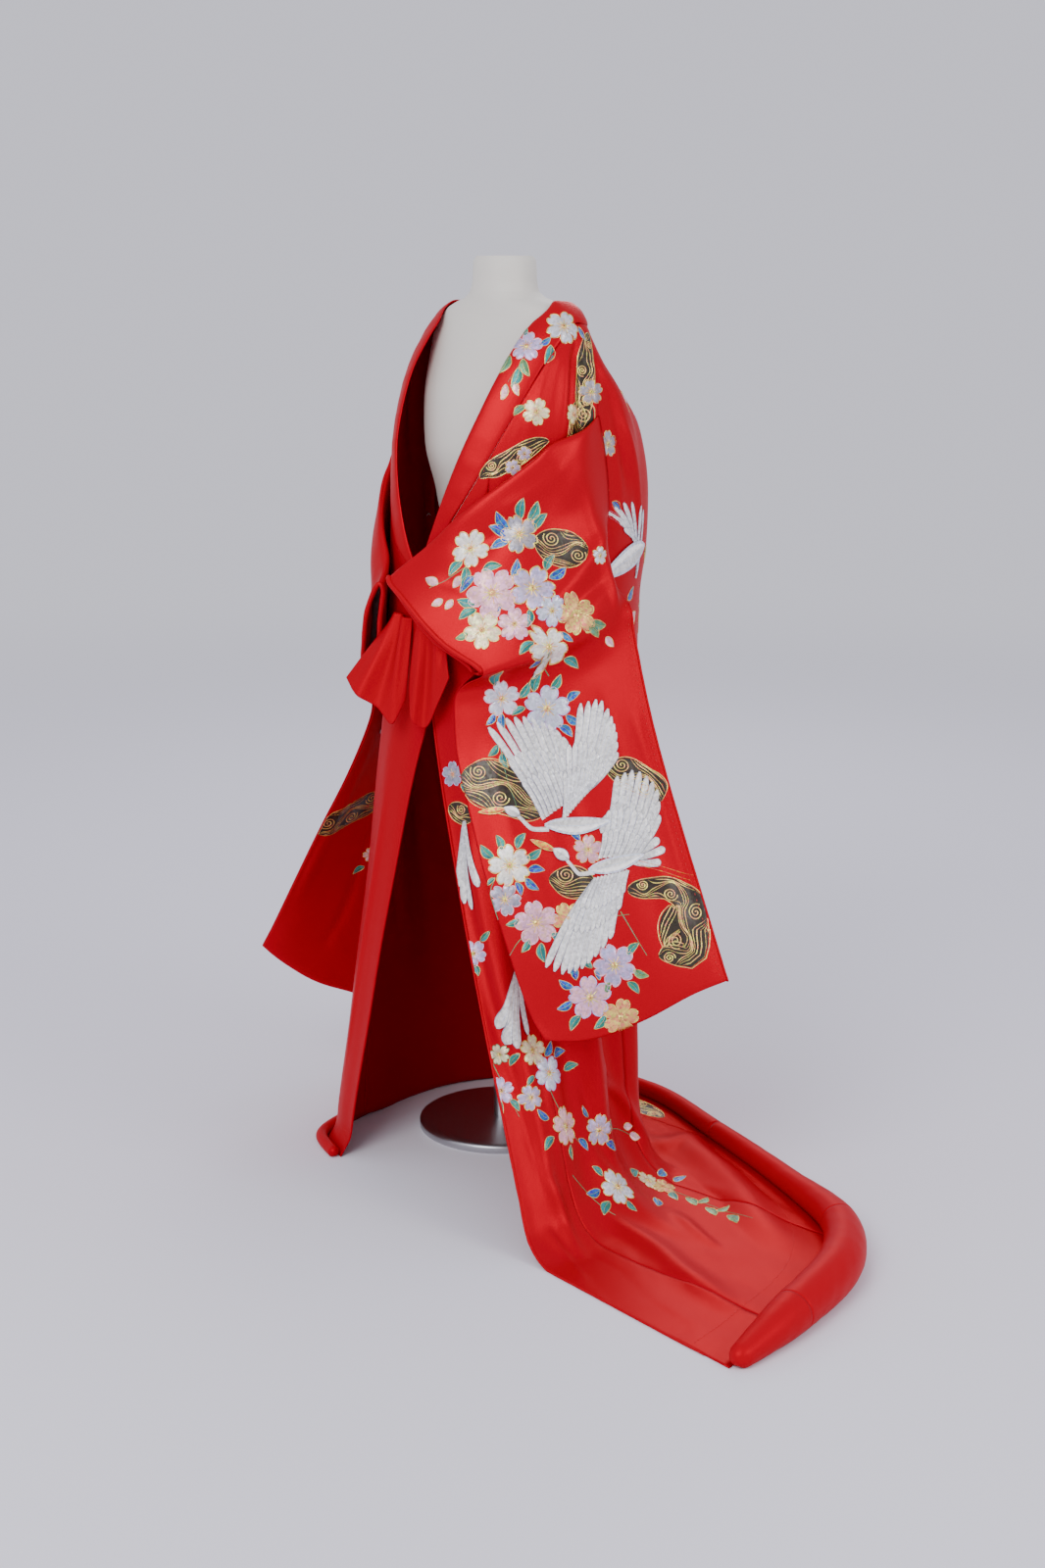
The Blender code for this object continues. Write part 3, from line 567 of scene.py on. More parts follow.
@dataclass
class ClothSurface:
    """The outer side of one cloth, as points in columns across it and rows down it."""

    points: Array
    column_step: float = 1.0
    row_step: float = 1.0
    closed: bool = False
    normals: Array = field(init=False)

    def __post_init__(self) -> None:
        """Finds the normals."""
        self.normals = grid_normals(self.points, self.closed)

    def finer(self, across: int, down: int) -> "ClothSurface":
        """The same surface with more columns and rows, its places numbered as before.

        Args:
            across: new steps to each old one across.
            down: new steps to each old one down.

        Returns:
            The finer surface.
        """
        points = refined(refined(self.points, across, 0), down, 1, self.closed)
        return ClothSurface(points, self.column_step / across, self.row_step / down, self.closed)

    def places(self) -> tuple[Array, Array]:
        """The column and row place of every point, as two grids.

        Returns:
            The columns and the rows.
        """
        columns, rows = self.points.shape[:2]
        across = np.arange(columns) * self.column_step
        down = np.arange(rows) * self.row_step
        return np.meshgrid(across, down, indexing="ij")

    def at(self, column: Array, row: Array) -> tuple[Array, Array]:
        """Points and normals anywhere on the surface.

        Args:
            column: places across.
            row: places down.

        Returns:
            The points and their normals.
        """
        columns, rows = self.points.shape[:2]
        x = np.clip(np.asarray(column, float) / self.column_step, 0, columns - 1.001)
        y = np.asarray(row, float) / self.row_step
        y = y % rows if self.closed else np.clip(y, 0, rows - 1.001)
        i, j = x.astype(int), y.astype(int)
        u, v = (x - i)[..., None], (y - j)[..., None]
        after = (j + 1) % rows if self.closed else j + 1
        found = []
        for field_ in (self.points, self.normals):
            top = field_[i, j] * (1 - u) + field_[i + 1, j] * u
            low = field_[i, after] * (1 - u) + field_[i + 1, after] * u
            found.append(top * (1 - v) + low * v)
        return found[0], found[1]

    def raised(self, heights: Array) -> "ClothSurface":
        """The surface pushed out along its normals.

        Args:
            heights: metres, one for each point.

        Returns:
            The new surface.
        """
        moved = self.points + self.normals * heights[:, :, None]
        return ClothSurface(moved, self.column_step, self.row_step, self.closed)

    def frames(self, anchors: Array) -> tuple[Array, Array, Array]:
        """The point at each anchor, and the unit directions across and up the cloth there.

        Args:
            anchors: column and row places.

        Returns:
            The points, the directions across and the directions up.
        """
        columns, rows = self.points.shape[:2]
        column = np.clip(anchors[:, 0], 0, (columns - 1) * self.column_step)
        row = anchors[:, 1]
        if not self.closed:
            row = np.clip(row, 0, (rows - 1) * self.row_step)
        here, normal = self.at(column, row)
        up = self.at(column, row - 0.3)[0] - self.at(column, row + 0.3)[0]
        up = unit(up - normal * (up * normal).sum(axis=1, keepdims=True))
        return here, unit(np.cross(up, normal)), up

    def slopes(self, column: Array, row: Array, step: float = 0.25) -> tuple[Array, Array]:
        """How far the surface goes for one column and for one row.

        Args:
            column: places across.
            row: places down.
            step: how far on each side the surface is read.

        Returns:
            Metres in x, y and z for a column, and for a row.
        """
        by_column = self.at(column + step, row)[0] - self.at(column - step, row)[0]
        by_row = self.at(column, row + step)[0] - self.at(column, row - step)[0]
        return by_column / (2 * step), by_row / (2 * step)

    def aim(self, start: Place, stop: Place) -> tuple[float, float]:
        """How a motif turns, and how long it is, to reach from one place to another.

        Args:
            start: column and row.
            stop: column and row.

        Returns:
            The turn in degrees from straight up, and the length in metres.
        """
        here, across, up = self.frames(np.array([start], float))
        away = self.at(np.array(stop[0]), np.array(stop[1]))[0] - here[0]
        x, y = away @ across[0], away @ up[0]
        return math.degrees(math.atan2(-x, y)), math.hypot(x, y)

    def spread(self, anchors: Array, turns: Array, local: Array) -> tuple[Array, Array]:
        """Lays flat metric points on the surface, round one anchor for each group of points.

        Args:
            anchors: column and row of each group's anchor.
            turns: degrees each group is turned by, anticlockwise seen from outside.
            local: metres across and up, as groups, points and xy.

        Returns:
            Their points and normals on the surface.
        """
        here, across, up = self.frames(anchors)
        angle = np.radians(turns)[:, None]
        cos, sin = np.cos(angle), np.sin(angle)
        wanted = np.stack([
            local[..., 0] * cos - local[..., 1] * sin,
            local[..., 0] * sin + local[..., 1] * cos,
        ], axis=-1)
        axes = np.stack([across, up], axis=1)
        back = np.linalg.pinv(axes @ np.stack(self.slopes(anchors[:, 0], anchors[:, 1]), axis=2))
        start = np.repeat(anchors[:, None, :], local.shape[1], axis=1)
        first = np.einsum("kma,kpa->kmp", wanted, back)
        bound = 1.5 * np.abs(first) + 0.15
        place = start + first
        for _ in range(6):
            away = self.at(place[..., 0], place[..., 1])[0] - here[:, None]
            reached = np.einsum("kmx,kax->kma", away, axes)
            place = place + np.einsum("kma,kpa->kmp", wanted - reached, back) * 0.8
            place = start + np.clip(place - start, -bound, bound)
        return self.at(place[..., 0], place[..., 1])


def new_mesh(name: str, points: Array, faces: Array, places: Array | None = None) -> bpy.types.Object:
    """An object from arrays of points and four-cornered faces.

    Args:
        name: the piece's name.
        points: its points.
        faces: four point numbers a face.
        places: metres across and down the cloth for each point, kept as its UV map.

    Returns:
        The object.
    """
    mesh = bpy.data.meshes.new(name)
    mesh.vertices.add(len(points))
    mesh.vertices.foreach_set("co", np.ascontiguousarray(points, np.float32).ravel())
    mesh.loops.add(faces.size)
    mesh.loops.foreach_set("vertex_index", np.ascontiguousarray(faces, np.int32).ravel())
    mesh.polygons.add(len(faces))
    mesh.polygons.foreach_set("loop_start", np.arange(0, faces.size, 4, dtype=np.int32))
    mesh.update(calc_edges=True)
    if places is not None:
        layer = mesh.uv_layers.new(name="cloth")
        layer.data.foreach_set("uv", np.ascontiguousarray(places[faces.ravel()], np.float32).ravel())
    mesh.shade_smooth()
    piece = bpy.data.objects.new(name, mesh)
    bpy.context.scene.collection.objects.link(piece)
    return piece


def grid_faces(columns: int, rows: int, closed_rows: bool = False) -> Array:
    """The faces of a grid of points, facing its outer side.

    Args:
        columns: how many columns.
        rows: how many rows.
        closed_rows: whether the last row runs on into the first.

    Returns:
        Four point numbers a face.
    """
    spans = np.arange(rows if closed_rows else rows - 1)
    column, row = np.meshgrid(np.arange(columns - 1), spans, indexing="ij")
    column, row = column.ravel(), row.ravel()
    after = (row + 1) % rows
    a, b = column * rows + row, (column + 1) * rows + row
    c, d = (column + 1) * rows + after, column * rows + after
    return np.stack([a, d, c, b], axis=1)


def shell(name: str, outer: Array, inner: Array, closed_rows: bool = False) -> bpy.types.Object:
    """A closed thin wall between two grids, its second material on the inner side.

    Args:
        name: the piece's name.
        outer: points of the outer side.
        inner: points of the inner side.
        closed_rows: whether the last row runs on into the first.

    Returns:
        The object, with a UV map in metres.
    """
    columns, rows = outer.shape[:2]
    count = columns * rows
    front = grid_faces(columns, rows, closed_rows)
    back = front[:, ::-1] + count
    row = np.arange(rows if closed_rows else rows - 1)
    after = (row + 1) % rows
    far = (columns - 1) * rows
    rims = [(row, row + count, after + count, after),
            (far + row, far + after, far + after + count, far + row + count)]
    if not closed_rows:
        column = np.arange(columns - 1) * rows
        low = column + rows - 1
        rims.append((column, column + rows, column + rows + count, column + count))
        rims.append((low, low + count, low + rows + count, low + rows))
    faces = np.concatenate([front, back, *(np.stack(rim, axis=1) for rim in rims)])
    across = np.linalg.norm(np.diff(outer, axis=0), axis=2).mean(axis=1)
    down = np.linalg.norm(np.diff(outer, axis=1), axis=2).mean(axis=0)
    places = flat_places(*(np.concatenate([[0], np.cumsum(steps)]) for steps in (across, down)))
    points = np.concatenate([outer.reshape(-1, 3), inner.reshape(-1, 3)])
    piece = new_mesh(name, points, faces, np.concatenate([places, places]))
    slots = np.zeros(len(faces), np.int32)
    slots[len(front) : 2 * len(front)] = 1
    piece.data.polygons.foreach_set("material_index", slots)
    return piece


@dataclass(frozen=True)
class Crease:
    """One soft ridge, or a valley where its height is below nought, along a line on a cloth."""

    cloth: str
    path: tuple[tuple[float, float], ...]
    width: float
    height: float

    def heights(self, surface: ClothSurface, places: tuple[tuple[float, float], ...]) -> Array:
        """How far it pushes each point of a surface out.

        Args:
            surface: the cloth it lies on.
            places: column and row of each place along it.

        Returns:
            A height for each point.
        """
        path = np.array(places)
        knots = np.linspace(0, 1, len(path))
        even = np.linspace(0, 1, 25)
        line = surface.at(smooth_curve(knots, path[:, 0], even), smooth_curve(knots, path[:, 1], even))[0]
        points = surface.points
        near = np.full(points.shape[:2], 1e9)
        along = np.zeros(points.shape[:2])
        for share, a, b in zip(even[:-1], line[:-1], line[1:]):
            run = b - a
            place = np.clip((points - a) @ run / (run @ run), 0, 1)
            away = np.linalg.norm(points - (a + place[..., None] * run), axis=2)
            closer = away < near
            near = np.where(closer, away, near)
            along = np.where(closer, share + place / 24, along)
        fade = smooth_share(along / 0.3) * smooth_share((1 - along) / 0.3)
        return self.height * np.exp(-((near / self.width) ** 2)) * fade


SEEN_CREASES = (
    # cloth, path in the photo's pixels, width, height
    Crease("body", ((648, 1128), (700, 1165), (760, 1225), (812, 1290)), 0.030, 0.012),
    Crease("body", ((655, 1165), (690, 1195), (730, 1250), (770, 1318)), 0.022, -0.012),
    Crease("body", ((600, 1215), (650, 1262), (700, 1300), (760, 1345)), 0.022, 0.0105),
    Crease("body", ((565, 1228), (600, 1290), (660, 1338), (715, 1368)), 0.018, -0.0075),
    Crease("body", ((548, 1180), (575, 1245), (612, 1300)), 0.013, 0.0075),
    Crease("body", ((720, 1135), (780, 1185), (838, 1240)), 0.022, -0.009),
    Crease("body", ((556, 1250), (578, 1280), (600, 1311)), 0.008, 0.0045),
    Crease("body", ((680, 1230), (720, 1262), (770, 1290)), 0.012, 0.006),
    Crease("body", ((470, 800), (490, 920), (520, 1050), (548, 1180)), 0.015, 0.0075),
    Crease("body", ((500, 1000), (530, 1120), (558, 1225)), 0.011, -0.006),
    Crease("body", ((590, 1085), (608, 1150), (650, 1215)), 0.014, -0.0075),
    Crease("body", ((620, 1080), (634, 1120), (668, 1172)), 0.012, 0.0075),
    Crease("body", ((398, 780), (380, 900), (362, 1020), (348, 1120)), 0.008, 0.003),
    Crease("body", ((586, 345), (584, 390), (580, 436)), 0.007, -0.006),
    Crease("body", ((600, 345), (604, 390), (606, 440)), 0.008, 0.006),
    Crease("body", ((560, 345), (552, 400), (540, 450)), 0.012, 0.0045),
    Crease("body", ((614, 380), (632, 440), (642, 520)), 0.012, -0.006),
    Crease("body", ((632, 420), (648, 480), (653, 560)), 0.010, 0.006),
    Crease("left", ((517, 660), (545, 628), (585, 590), (615, 550), (632, 505)), 0.013, 0.007),
    Crease("left", ((530, 676), (566, 642), (604, 602), (626, 562)), 0.010, -0.006),
    Crease("left", ((470, 572), (530, 530), (590, 478)), 0.014, -0.004),
    Crease("left", ((440, 590), (478, 608), (512, 644)), 0.010, -0.003),
    Crease("left", ((500, 528), (550, 500), (598, 452)), 0.010, 0.003),
    Crease("left", ((498, 745), (530, 880), (580, 1030)), 0.020, 0.005),
    Crease("left", ((548, 700), (590, 850), (640, 1000)), 0.022, -0.005),
    Crease("left", ((612, 680), (655, 830), (706, 970)), 0.020, 0.005),
    Crease("left", ((482, 770), (560, 785), (640, 760)), 0.012, 0.003),
    Crease("left", ((640, 700), (668, 790), (720, 950)), 0.012, -0.003),
    Crease("right", ((386, 740), (345, 830), (296, 930)), 0.013, 0.003),
    Crease("right", ((394, 800), (362, 900), (322, 972)), 0.011, -0.003),
)
UNSEEN_CREASES = (
    # cloth, path of column and row, width, height; a column of the body is a warp line
    Crease("body", ((5.3, 5), (5.5, 9), (5.2, 14)), 0.014, 0.0075),
    Crease("body", ((6.2, 6), (6.0, 11), (6.4, 17)), 0.012, -0.0075),
    Crease("body", ((4.6, 15), (4.9, 21), (4.7, 27)), 0.016, 0.009),
    Crease("body", ((5.6, 17), (5.9, 24), (5.5, 31)), 0.018, -0.009),
    Crease("body", ((6.7, 14), (6.9, 20), (6.6, 27)), 0.016, 0.009),
    Crease("body", ((7.5, 9), (7.6, 16), (7.4, 23)), 0.014, -0.0075),
    Crease("body", ((8.4, 13), (8.5, 20), (8.3, 27)), 0.012, 0.0075),
    Crease("body", ((9.3, 14), (9.2, 21), (9.3, 28)), 0.010, -0.0045),
    Crease("left", ((3, 20), (6, 22), (9, 21)), 0.014, 0.003),
    Crease("left", ((2, 25), (5, 27), (8, 29)), 0.014, -0.004),
    Crease("right", ((9, 4), (6, 6), (3, 9)), 0.014, 0.004),
    Crease("right", ((3, 10), (7, 11), (10, 13)), 0.016, -0.004),
    Crease("right", ((8, 13), (6, 14.5), (3, 15)), 0.012, 0.003),
)


def crease_heights(cloth: str, surface: ClothSurface) -> Array:
    """All the creases of one cloth.

    Args:
        cloth: its name.
        surface: its plain surface.

    Returns:
        A height for each point.
    """
    photo = PhotoView({cloth: surface})
    total = np.zeros(surface.points.shape[:2])
    for crease in SEEN_CREASES:
        if crease.cloth == cloth:
            total += crease.heights(surface, photo.places(cloth, crease.path))
    for crease in UNSEEN_CREASES:
        if crease.cloth == cloth:
            total += crease.heights(surface, crease.path)
    return total


def dressed(piece: bpy.types.Object, materials: list[bpy.types.Material],
            nodes: tuple[str, ...] = ()) -> bpy.types.Object:
    """Gives a piece its finish and its place on the part.

    Args:
        piece: the object.
        materials: its materials, in slot order.
        nodes: the solids that it stands for.

    Returns:
        The same object.
    """
    for material in materials:
        piece.data.materials.append(material)
    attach(piece, "root")
    if nodes:
        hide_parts(*nodes)
    log.info("%s: %d faces", piece.name, len(piece.data.polygons))
    return piece


def puckers(run: Array, seed: float) -> Array:
    """Uneven small waves, as a seam draws them.

    Args:
        run: metres along the seam.
        seed: sets where they fall.

    Returns:
        A share from -1 to 1 for each place.
    """
    return (np.sin(run * 151 + seed * 7) * 0.5 + np.sin(run * 97 + seed * 13) * 0.3
            + np.sin(run * 263 + seed * 3) * 0.2)


@dataclass
class Robe:
    """The six panels, the collar and the padded hem."""

    finishes: Finishes
    across: int = 6
    down: int = 6
    seam_dip: float = 0.0009
    dip_reach: float = 0.006
    pucker: float = 0.0005
    pucker_reach: float = 0.018
    swell: float = 0.0011
    collar_pad: float = 0.0026
    edge_cord: float = 0.0021
    hem_fade: float = 1.0
    hem_lap: float = 0.0028
    body: WornBody = field(default_factory=WornBody)

    def __post_init__(self) -> None:
        """Works out the surface that all the pieces share."""
        self.solid_grid, self.rolls, self.lying = self.body.grid()
        base = ClothSurface(self.solid_grid, 1 / LINE_STEPS)
        self.plain = base.finer(self.across, self.down)
        raised = self.plain.raised(self.relief(self.plain)).points
        raised[:, :, 2] = np.maximum(raised[:, :, 2], FLOOR + SHELL)
        self.surface = ClothSurface(raised, self.plain.column_step, self.plain.row_step)

    def relief(self, surface: ClothSurface) -> Array:
        """The creases, the seams' dips and the cloth's slight unevenness.

        Args:
            surface: the plain surface.

        Returns:
            A height for each point.
        """
        line, row = surface.places()
        run = np.array([lengths_along(column) for column in surface.points])
        heights = crease_heights("body", surface)
        width = np.linalg.norm(np.gradient(surface.points, axis=0), axis=2) / surface.column_step
        names = [line[0] for line in LINES]
        for number in (names.index(first) for _, first, _, _, _ in PANELS[1:]):
            away = np.abs(line - number) * width
            heights -= self.seam_dip * np.exp(-((away / self.dip_reach) ** 2))
            heights += self.pucker * puckers(run, number) * np.exp(-away / self.pucker_reach)
        uneven = np.sin(line * 5.3 + run * 9.1) * np.sin(run * 13.7 - line * 3.1 + 1.7)
        heights += self.swell * uneven * smooth_share((row - 4) / 5)
        return heights * smooth_share((COLLAR_ROWS + UPPER_ROWS + LOWER_ROWS - row) / self.hem_fade)

    def opened(self, points: Array, line: Array, row: Array, side: float, front: bool) -> Array:
        """Points of a panel with its armhole edge drawn back.

        Args:
            points: of the panel.
            line: line number of each.
            row: row number of each.
            side: the side line's number.
            front: whether the panel lies in front of that line.

        Returns:
            The moved points.
        """
        column = int(side * LINE_STEPS)
        step = unit(self.solid_grid[column + 1] - self.solid_grid[column - 1])
        rows = [ARMHOLE_TOP_ROW, *ARMHOLE_HALF_WIDTHS, max(ARMHOLE_HALF_WIDTHS) + 1]
        halves = [0.0, *ARMHOLE_HALF_WIDTHS.values(), 0.0]
        half = np.interp(row, rows, halves) * np.clip(1 - np.abs(line - side) * LINE_STEPS / 2, 0, 1)
        low = np.clip(row.astype(int), 0, len(step) - 2)
        part = (row - low)[..., None]
        direction = step[low] * (1 - part) + step[low + 1] * part
        return points + direction * (half * (-1 if front else 1))[..., None]

    def panel(self, first: str, last: str) -> tuple[Array, Array]:
        """The outer and the inner side of one panel.

        Args:
            first: the warp line it starts at.
            last: the warp line it ends at.

        Returns:
            Two grids of points.
        """
        names = [line[0] for line in LINES]
        start, stop = names.index(first), names.index(last)
        fine = LINE_STEPS * self.across
        columns = slice(start * fine, stop * fine + 1)
        rows = slice(COLLAR_ROWS * self.down, None)
        line, row = (grid[columns, rows] for grid in self.surface.places())
        outer = self.surface.points[columns, rows].copy()
        normals = self.surface.normals[columns, rows]
        for side in (names.index("left_side"), names.index("right_side")):
            if side in (start, stop):
                outer = self.opened(outer, line, row, side, side == stop)
        inner = outer - normals * SHELL
        for grid in (outer, inner):
            for edge, beside, name in ((0, 1, first), (-1, -2, last)):
                if "edge" not in name:
                    shift_edge(grid, edge, beside, SEAM_GAP)
            down = grid.swapaxes(0, 1)
            shift_edge(down, 0, 1, SEAM_GAP)
            shift_edge(down, -1, -2, -self.hem_lap)
        outer[:, :, 2] = np.maximum(outer[:, :, 2], FLOOR + SHELL)
        inner[:, :, 2] = np.maximum(inner[:, :, 2], FLOOR)
        return outer, inner

    def build_panels(self) -> None:
        """Sews the fronts, the backs and the overlaps."""
        for name, first, last, width, length in PANELS:
            outer, inner = self.panel(first, last)
            piece = shell(f"{name}_cloth", outer, inner)
            dressed(piece, [self.finishes["satin"], self.finishes["lining"]], (name,))

    def build_collar(self) -> None:
        """Sews the folded band round the neck and down both fronts."""
        rows = slice(0, COLLAR_ROWS * self.down + 1)
        points, normals = self.plain.points[:, rows], self.plain.normals[:, rows]
        share = np.linspace(0, 1, points.shape[1])[None, :, None]
        run = lengths_so_far(points[:, 0])
        round_off = np.sqrt(np.clip(1 - (2 * share - 1) ** 6, 0, 1))
        ripple = (puckers(run, 4)[:, None, None] * np.sin(share * math.pi)) * self.pucker
        outer = points + normals * (self.collar_pad * round_off + 0.0002 + ripple)
        inner = points - normals * (SHELL * round_off + 0.0001)
        for grid in (outer, inner):
            shift_edge(grid.swapaxes(0, 1), -1, -2, SEAM_GAP)
        piece = shell("collar_band", outer, inner)
        dressed(piece, [self.finishes["satin"], self.finishes["satin"]], ("collar",))
        face = self.surface.points.copy()
        face[:, rows] = outer
        self.face = ClothSurface(face, self.plain.column_step, self.plain.row_step)

    def build_edges(self) -> None:
        """Rolls the lining out as a thin cord along both front edges."""
        rows = slice((COLLAR_ROWS + 1) * self.down, -3, 2)
        for name, edge, beside in (("left", 0, 2), ("right", -1, -3)):
            points = self.surface.points[edge, rows]
            outward = unit(points - self.surface.points[beside, rows])
            path = points + outward * self.edge_cord * 0.5 - self.surface.normals[edge, rows] * SHELL / 2
            path[:, 2] = np.maximum(path[:, 2], FLOOR + self.edge_cord)
            tube(f"front_edge_{name}", path, self.edge_cord, self.finishes["roll"])

    def build_hem(self) -> None:
        """Rolls the padded lining along each panel's hem."""
        hem = refined(self.solid_grid[:, -1], self.across, 0)
        old = np.arange(len(self.rolls))
        fine = np.linspace(0, len(self.rolls) - 1, len(hem))
        rolls, lying = np.interp(fine, old, self.rolls), np.interp(fine, old, self.lying)
        run = unit(np.gradient(hem[:, :2], axis=0))
        aside = np.stack([run[:, 1], -run[:, 0]], axis=1)
        length = lengths_so_far(hem[:, :2])
        names = [line[0] for line in LINES]
        for name, first, last, _, _ in PANELS:
            start, stop = (names.index(line) * LINE_STEPS * self.across for line in (first, last))
            rings = []
            for i in range(start, stop + 1):
                out, up = self.roll_section(rolls[i], lying[i], length[i])
                rings.append(np.column_stack([hem[i, :2] + aside[i] * out[:, None], up]))
            rings = np.array(rings)
            if start == 0:
                self.round_end(rings)
            if stop == len(hem) - 1:
                self.round_end(rings[::-1])
            shift_edge(rings, 0, 1, SEAM_GAP)
            shift_edge(rings, -1, -2, SEAM_GAP)
            self.build_roll(f"hem_pad_{name}", rings, f"hem_roll_{name}")

    def roll_section(self, radius: float, lying: float, length: float) -> tuple[Array, Array]:
        """One section of the padded hem, slightly crumpled.

        Args:
            radius: of the roll.
            lying: metres of the panel that lie on the floor there.
            length: metres along the hem.

        Returns:
            Metres out from the panel's end, and up from the floor.
        """
        cut = math.acos(ROLL_SINK)
        rise = math.sin(cut + ROLL_FACET_TURN) - math.sin(cut)
        side = math.sin(cut) + rise * WALL / (ROLL_FACET_RISE * radius)
        flat = smooth_share(lying / FLAT_LENGTH)
        shift = (radius + ROLL_CLEARANCE) * (1 - flat) + side * radius * flat + 2 * GAP
        turn = np.linspace(cut, 2 * math.pi - cut, ROLL_AROUND)
        crumple = 1 + 0.018 * np.sin(length * 83 + 3 * turn) * np.sin(length * 31 + turn)
        size = radius * np.clip(crumple, 0.97, 1.0)
        return shift - np.sin(turn) * size, np.maximum(radius * ROLL_SINK - np.cos(turn) * size, FLOOR)

    def round_end(self, rings: Array) -> None:
        """Narrows the first sections of a roll, in place, to a round end.

        Args:
            rings: its sections, the end first.
        """
        for ring, size in zip(rings[3:0:-1], ROLL_END_SIZES):
            ring[:] = ring.mean(axis=0) + (ring - ring.mean(axis=0)) * size
        rings[0] = rings[0].mean(axis=0) + (rings[0] - rings[0].mean(axis=0)) * ROLL_TIP_SIZE
        rings[0, :, 2] = np.maximum(rings[0, :, 2], FLOOR)

    def build_roll(self, name: str, rings: Array, node: str) -> None:
        """Closes one stretch of the padded hem.

        Args:
            name: the piece's name.
            rings: its sections.
            node: the solid that it stands for.
        """
        places = flat_places(lengths_so_far(rings.mean(axis=1)), lengths_so_far(rings[len(rings) // 2]))
        piece = closed_body(name, rings, rings[[0, -1]].mean(axis=1), places, reverse=True)
        dressed(piece, [self.finishes["roll"]], (node,))


def closed_body(name: str, rings: Array, ends: Array, places: Array,
                reverse: bool = False) -> bpy.types.Object:
    """A body through closed rings of points, with a fan of triangles over each end.

    Args:
        name: the piece's name.
        rings: its sections.
        ends: the middles of the first and the last section.
        places: metres along and round, for the rings' points.
        reverse: whether the rings run the other way round.

    Returns:
        The object.
    """
    stations, around = rings.shape[:2]
    faces = grid_faces(stations, around, closed_rows=True)
    points = np.concatenate([rings.reshape(-1, 3), ends])
    places = np.concatenate([places, places[:1], places[-1:]])
    piece = new_mesh(name, points, faces[:, ::-1] if reverse else faces, places)
    first, far = stations * around, (stations - 1) * around
    caps = [(i, (i + 1) % around, first) for i in range(around)]
    caps += [(far + (i + 1) % around, far + i, first + 1) for i in range(around)]
    work = bmesh.new()
    work.from_mesh(piece.data)
    work.verts.ensure_lookup_table()
    for corners in caps:
        face = work.faces.new([work.verts[corner] for corner in corners])
        face.smooth = True
    bmesh.ops.recalc_face_normals(work, faces=work.faces)
    work.to_mesh(piece.data)
    work.free()
    piece.data.update()
    return piece


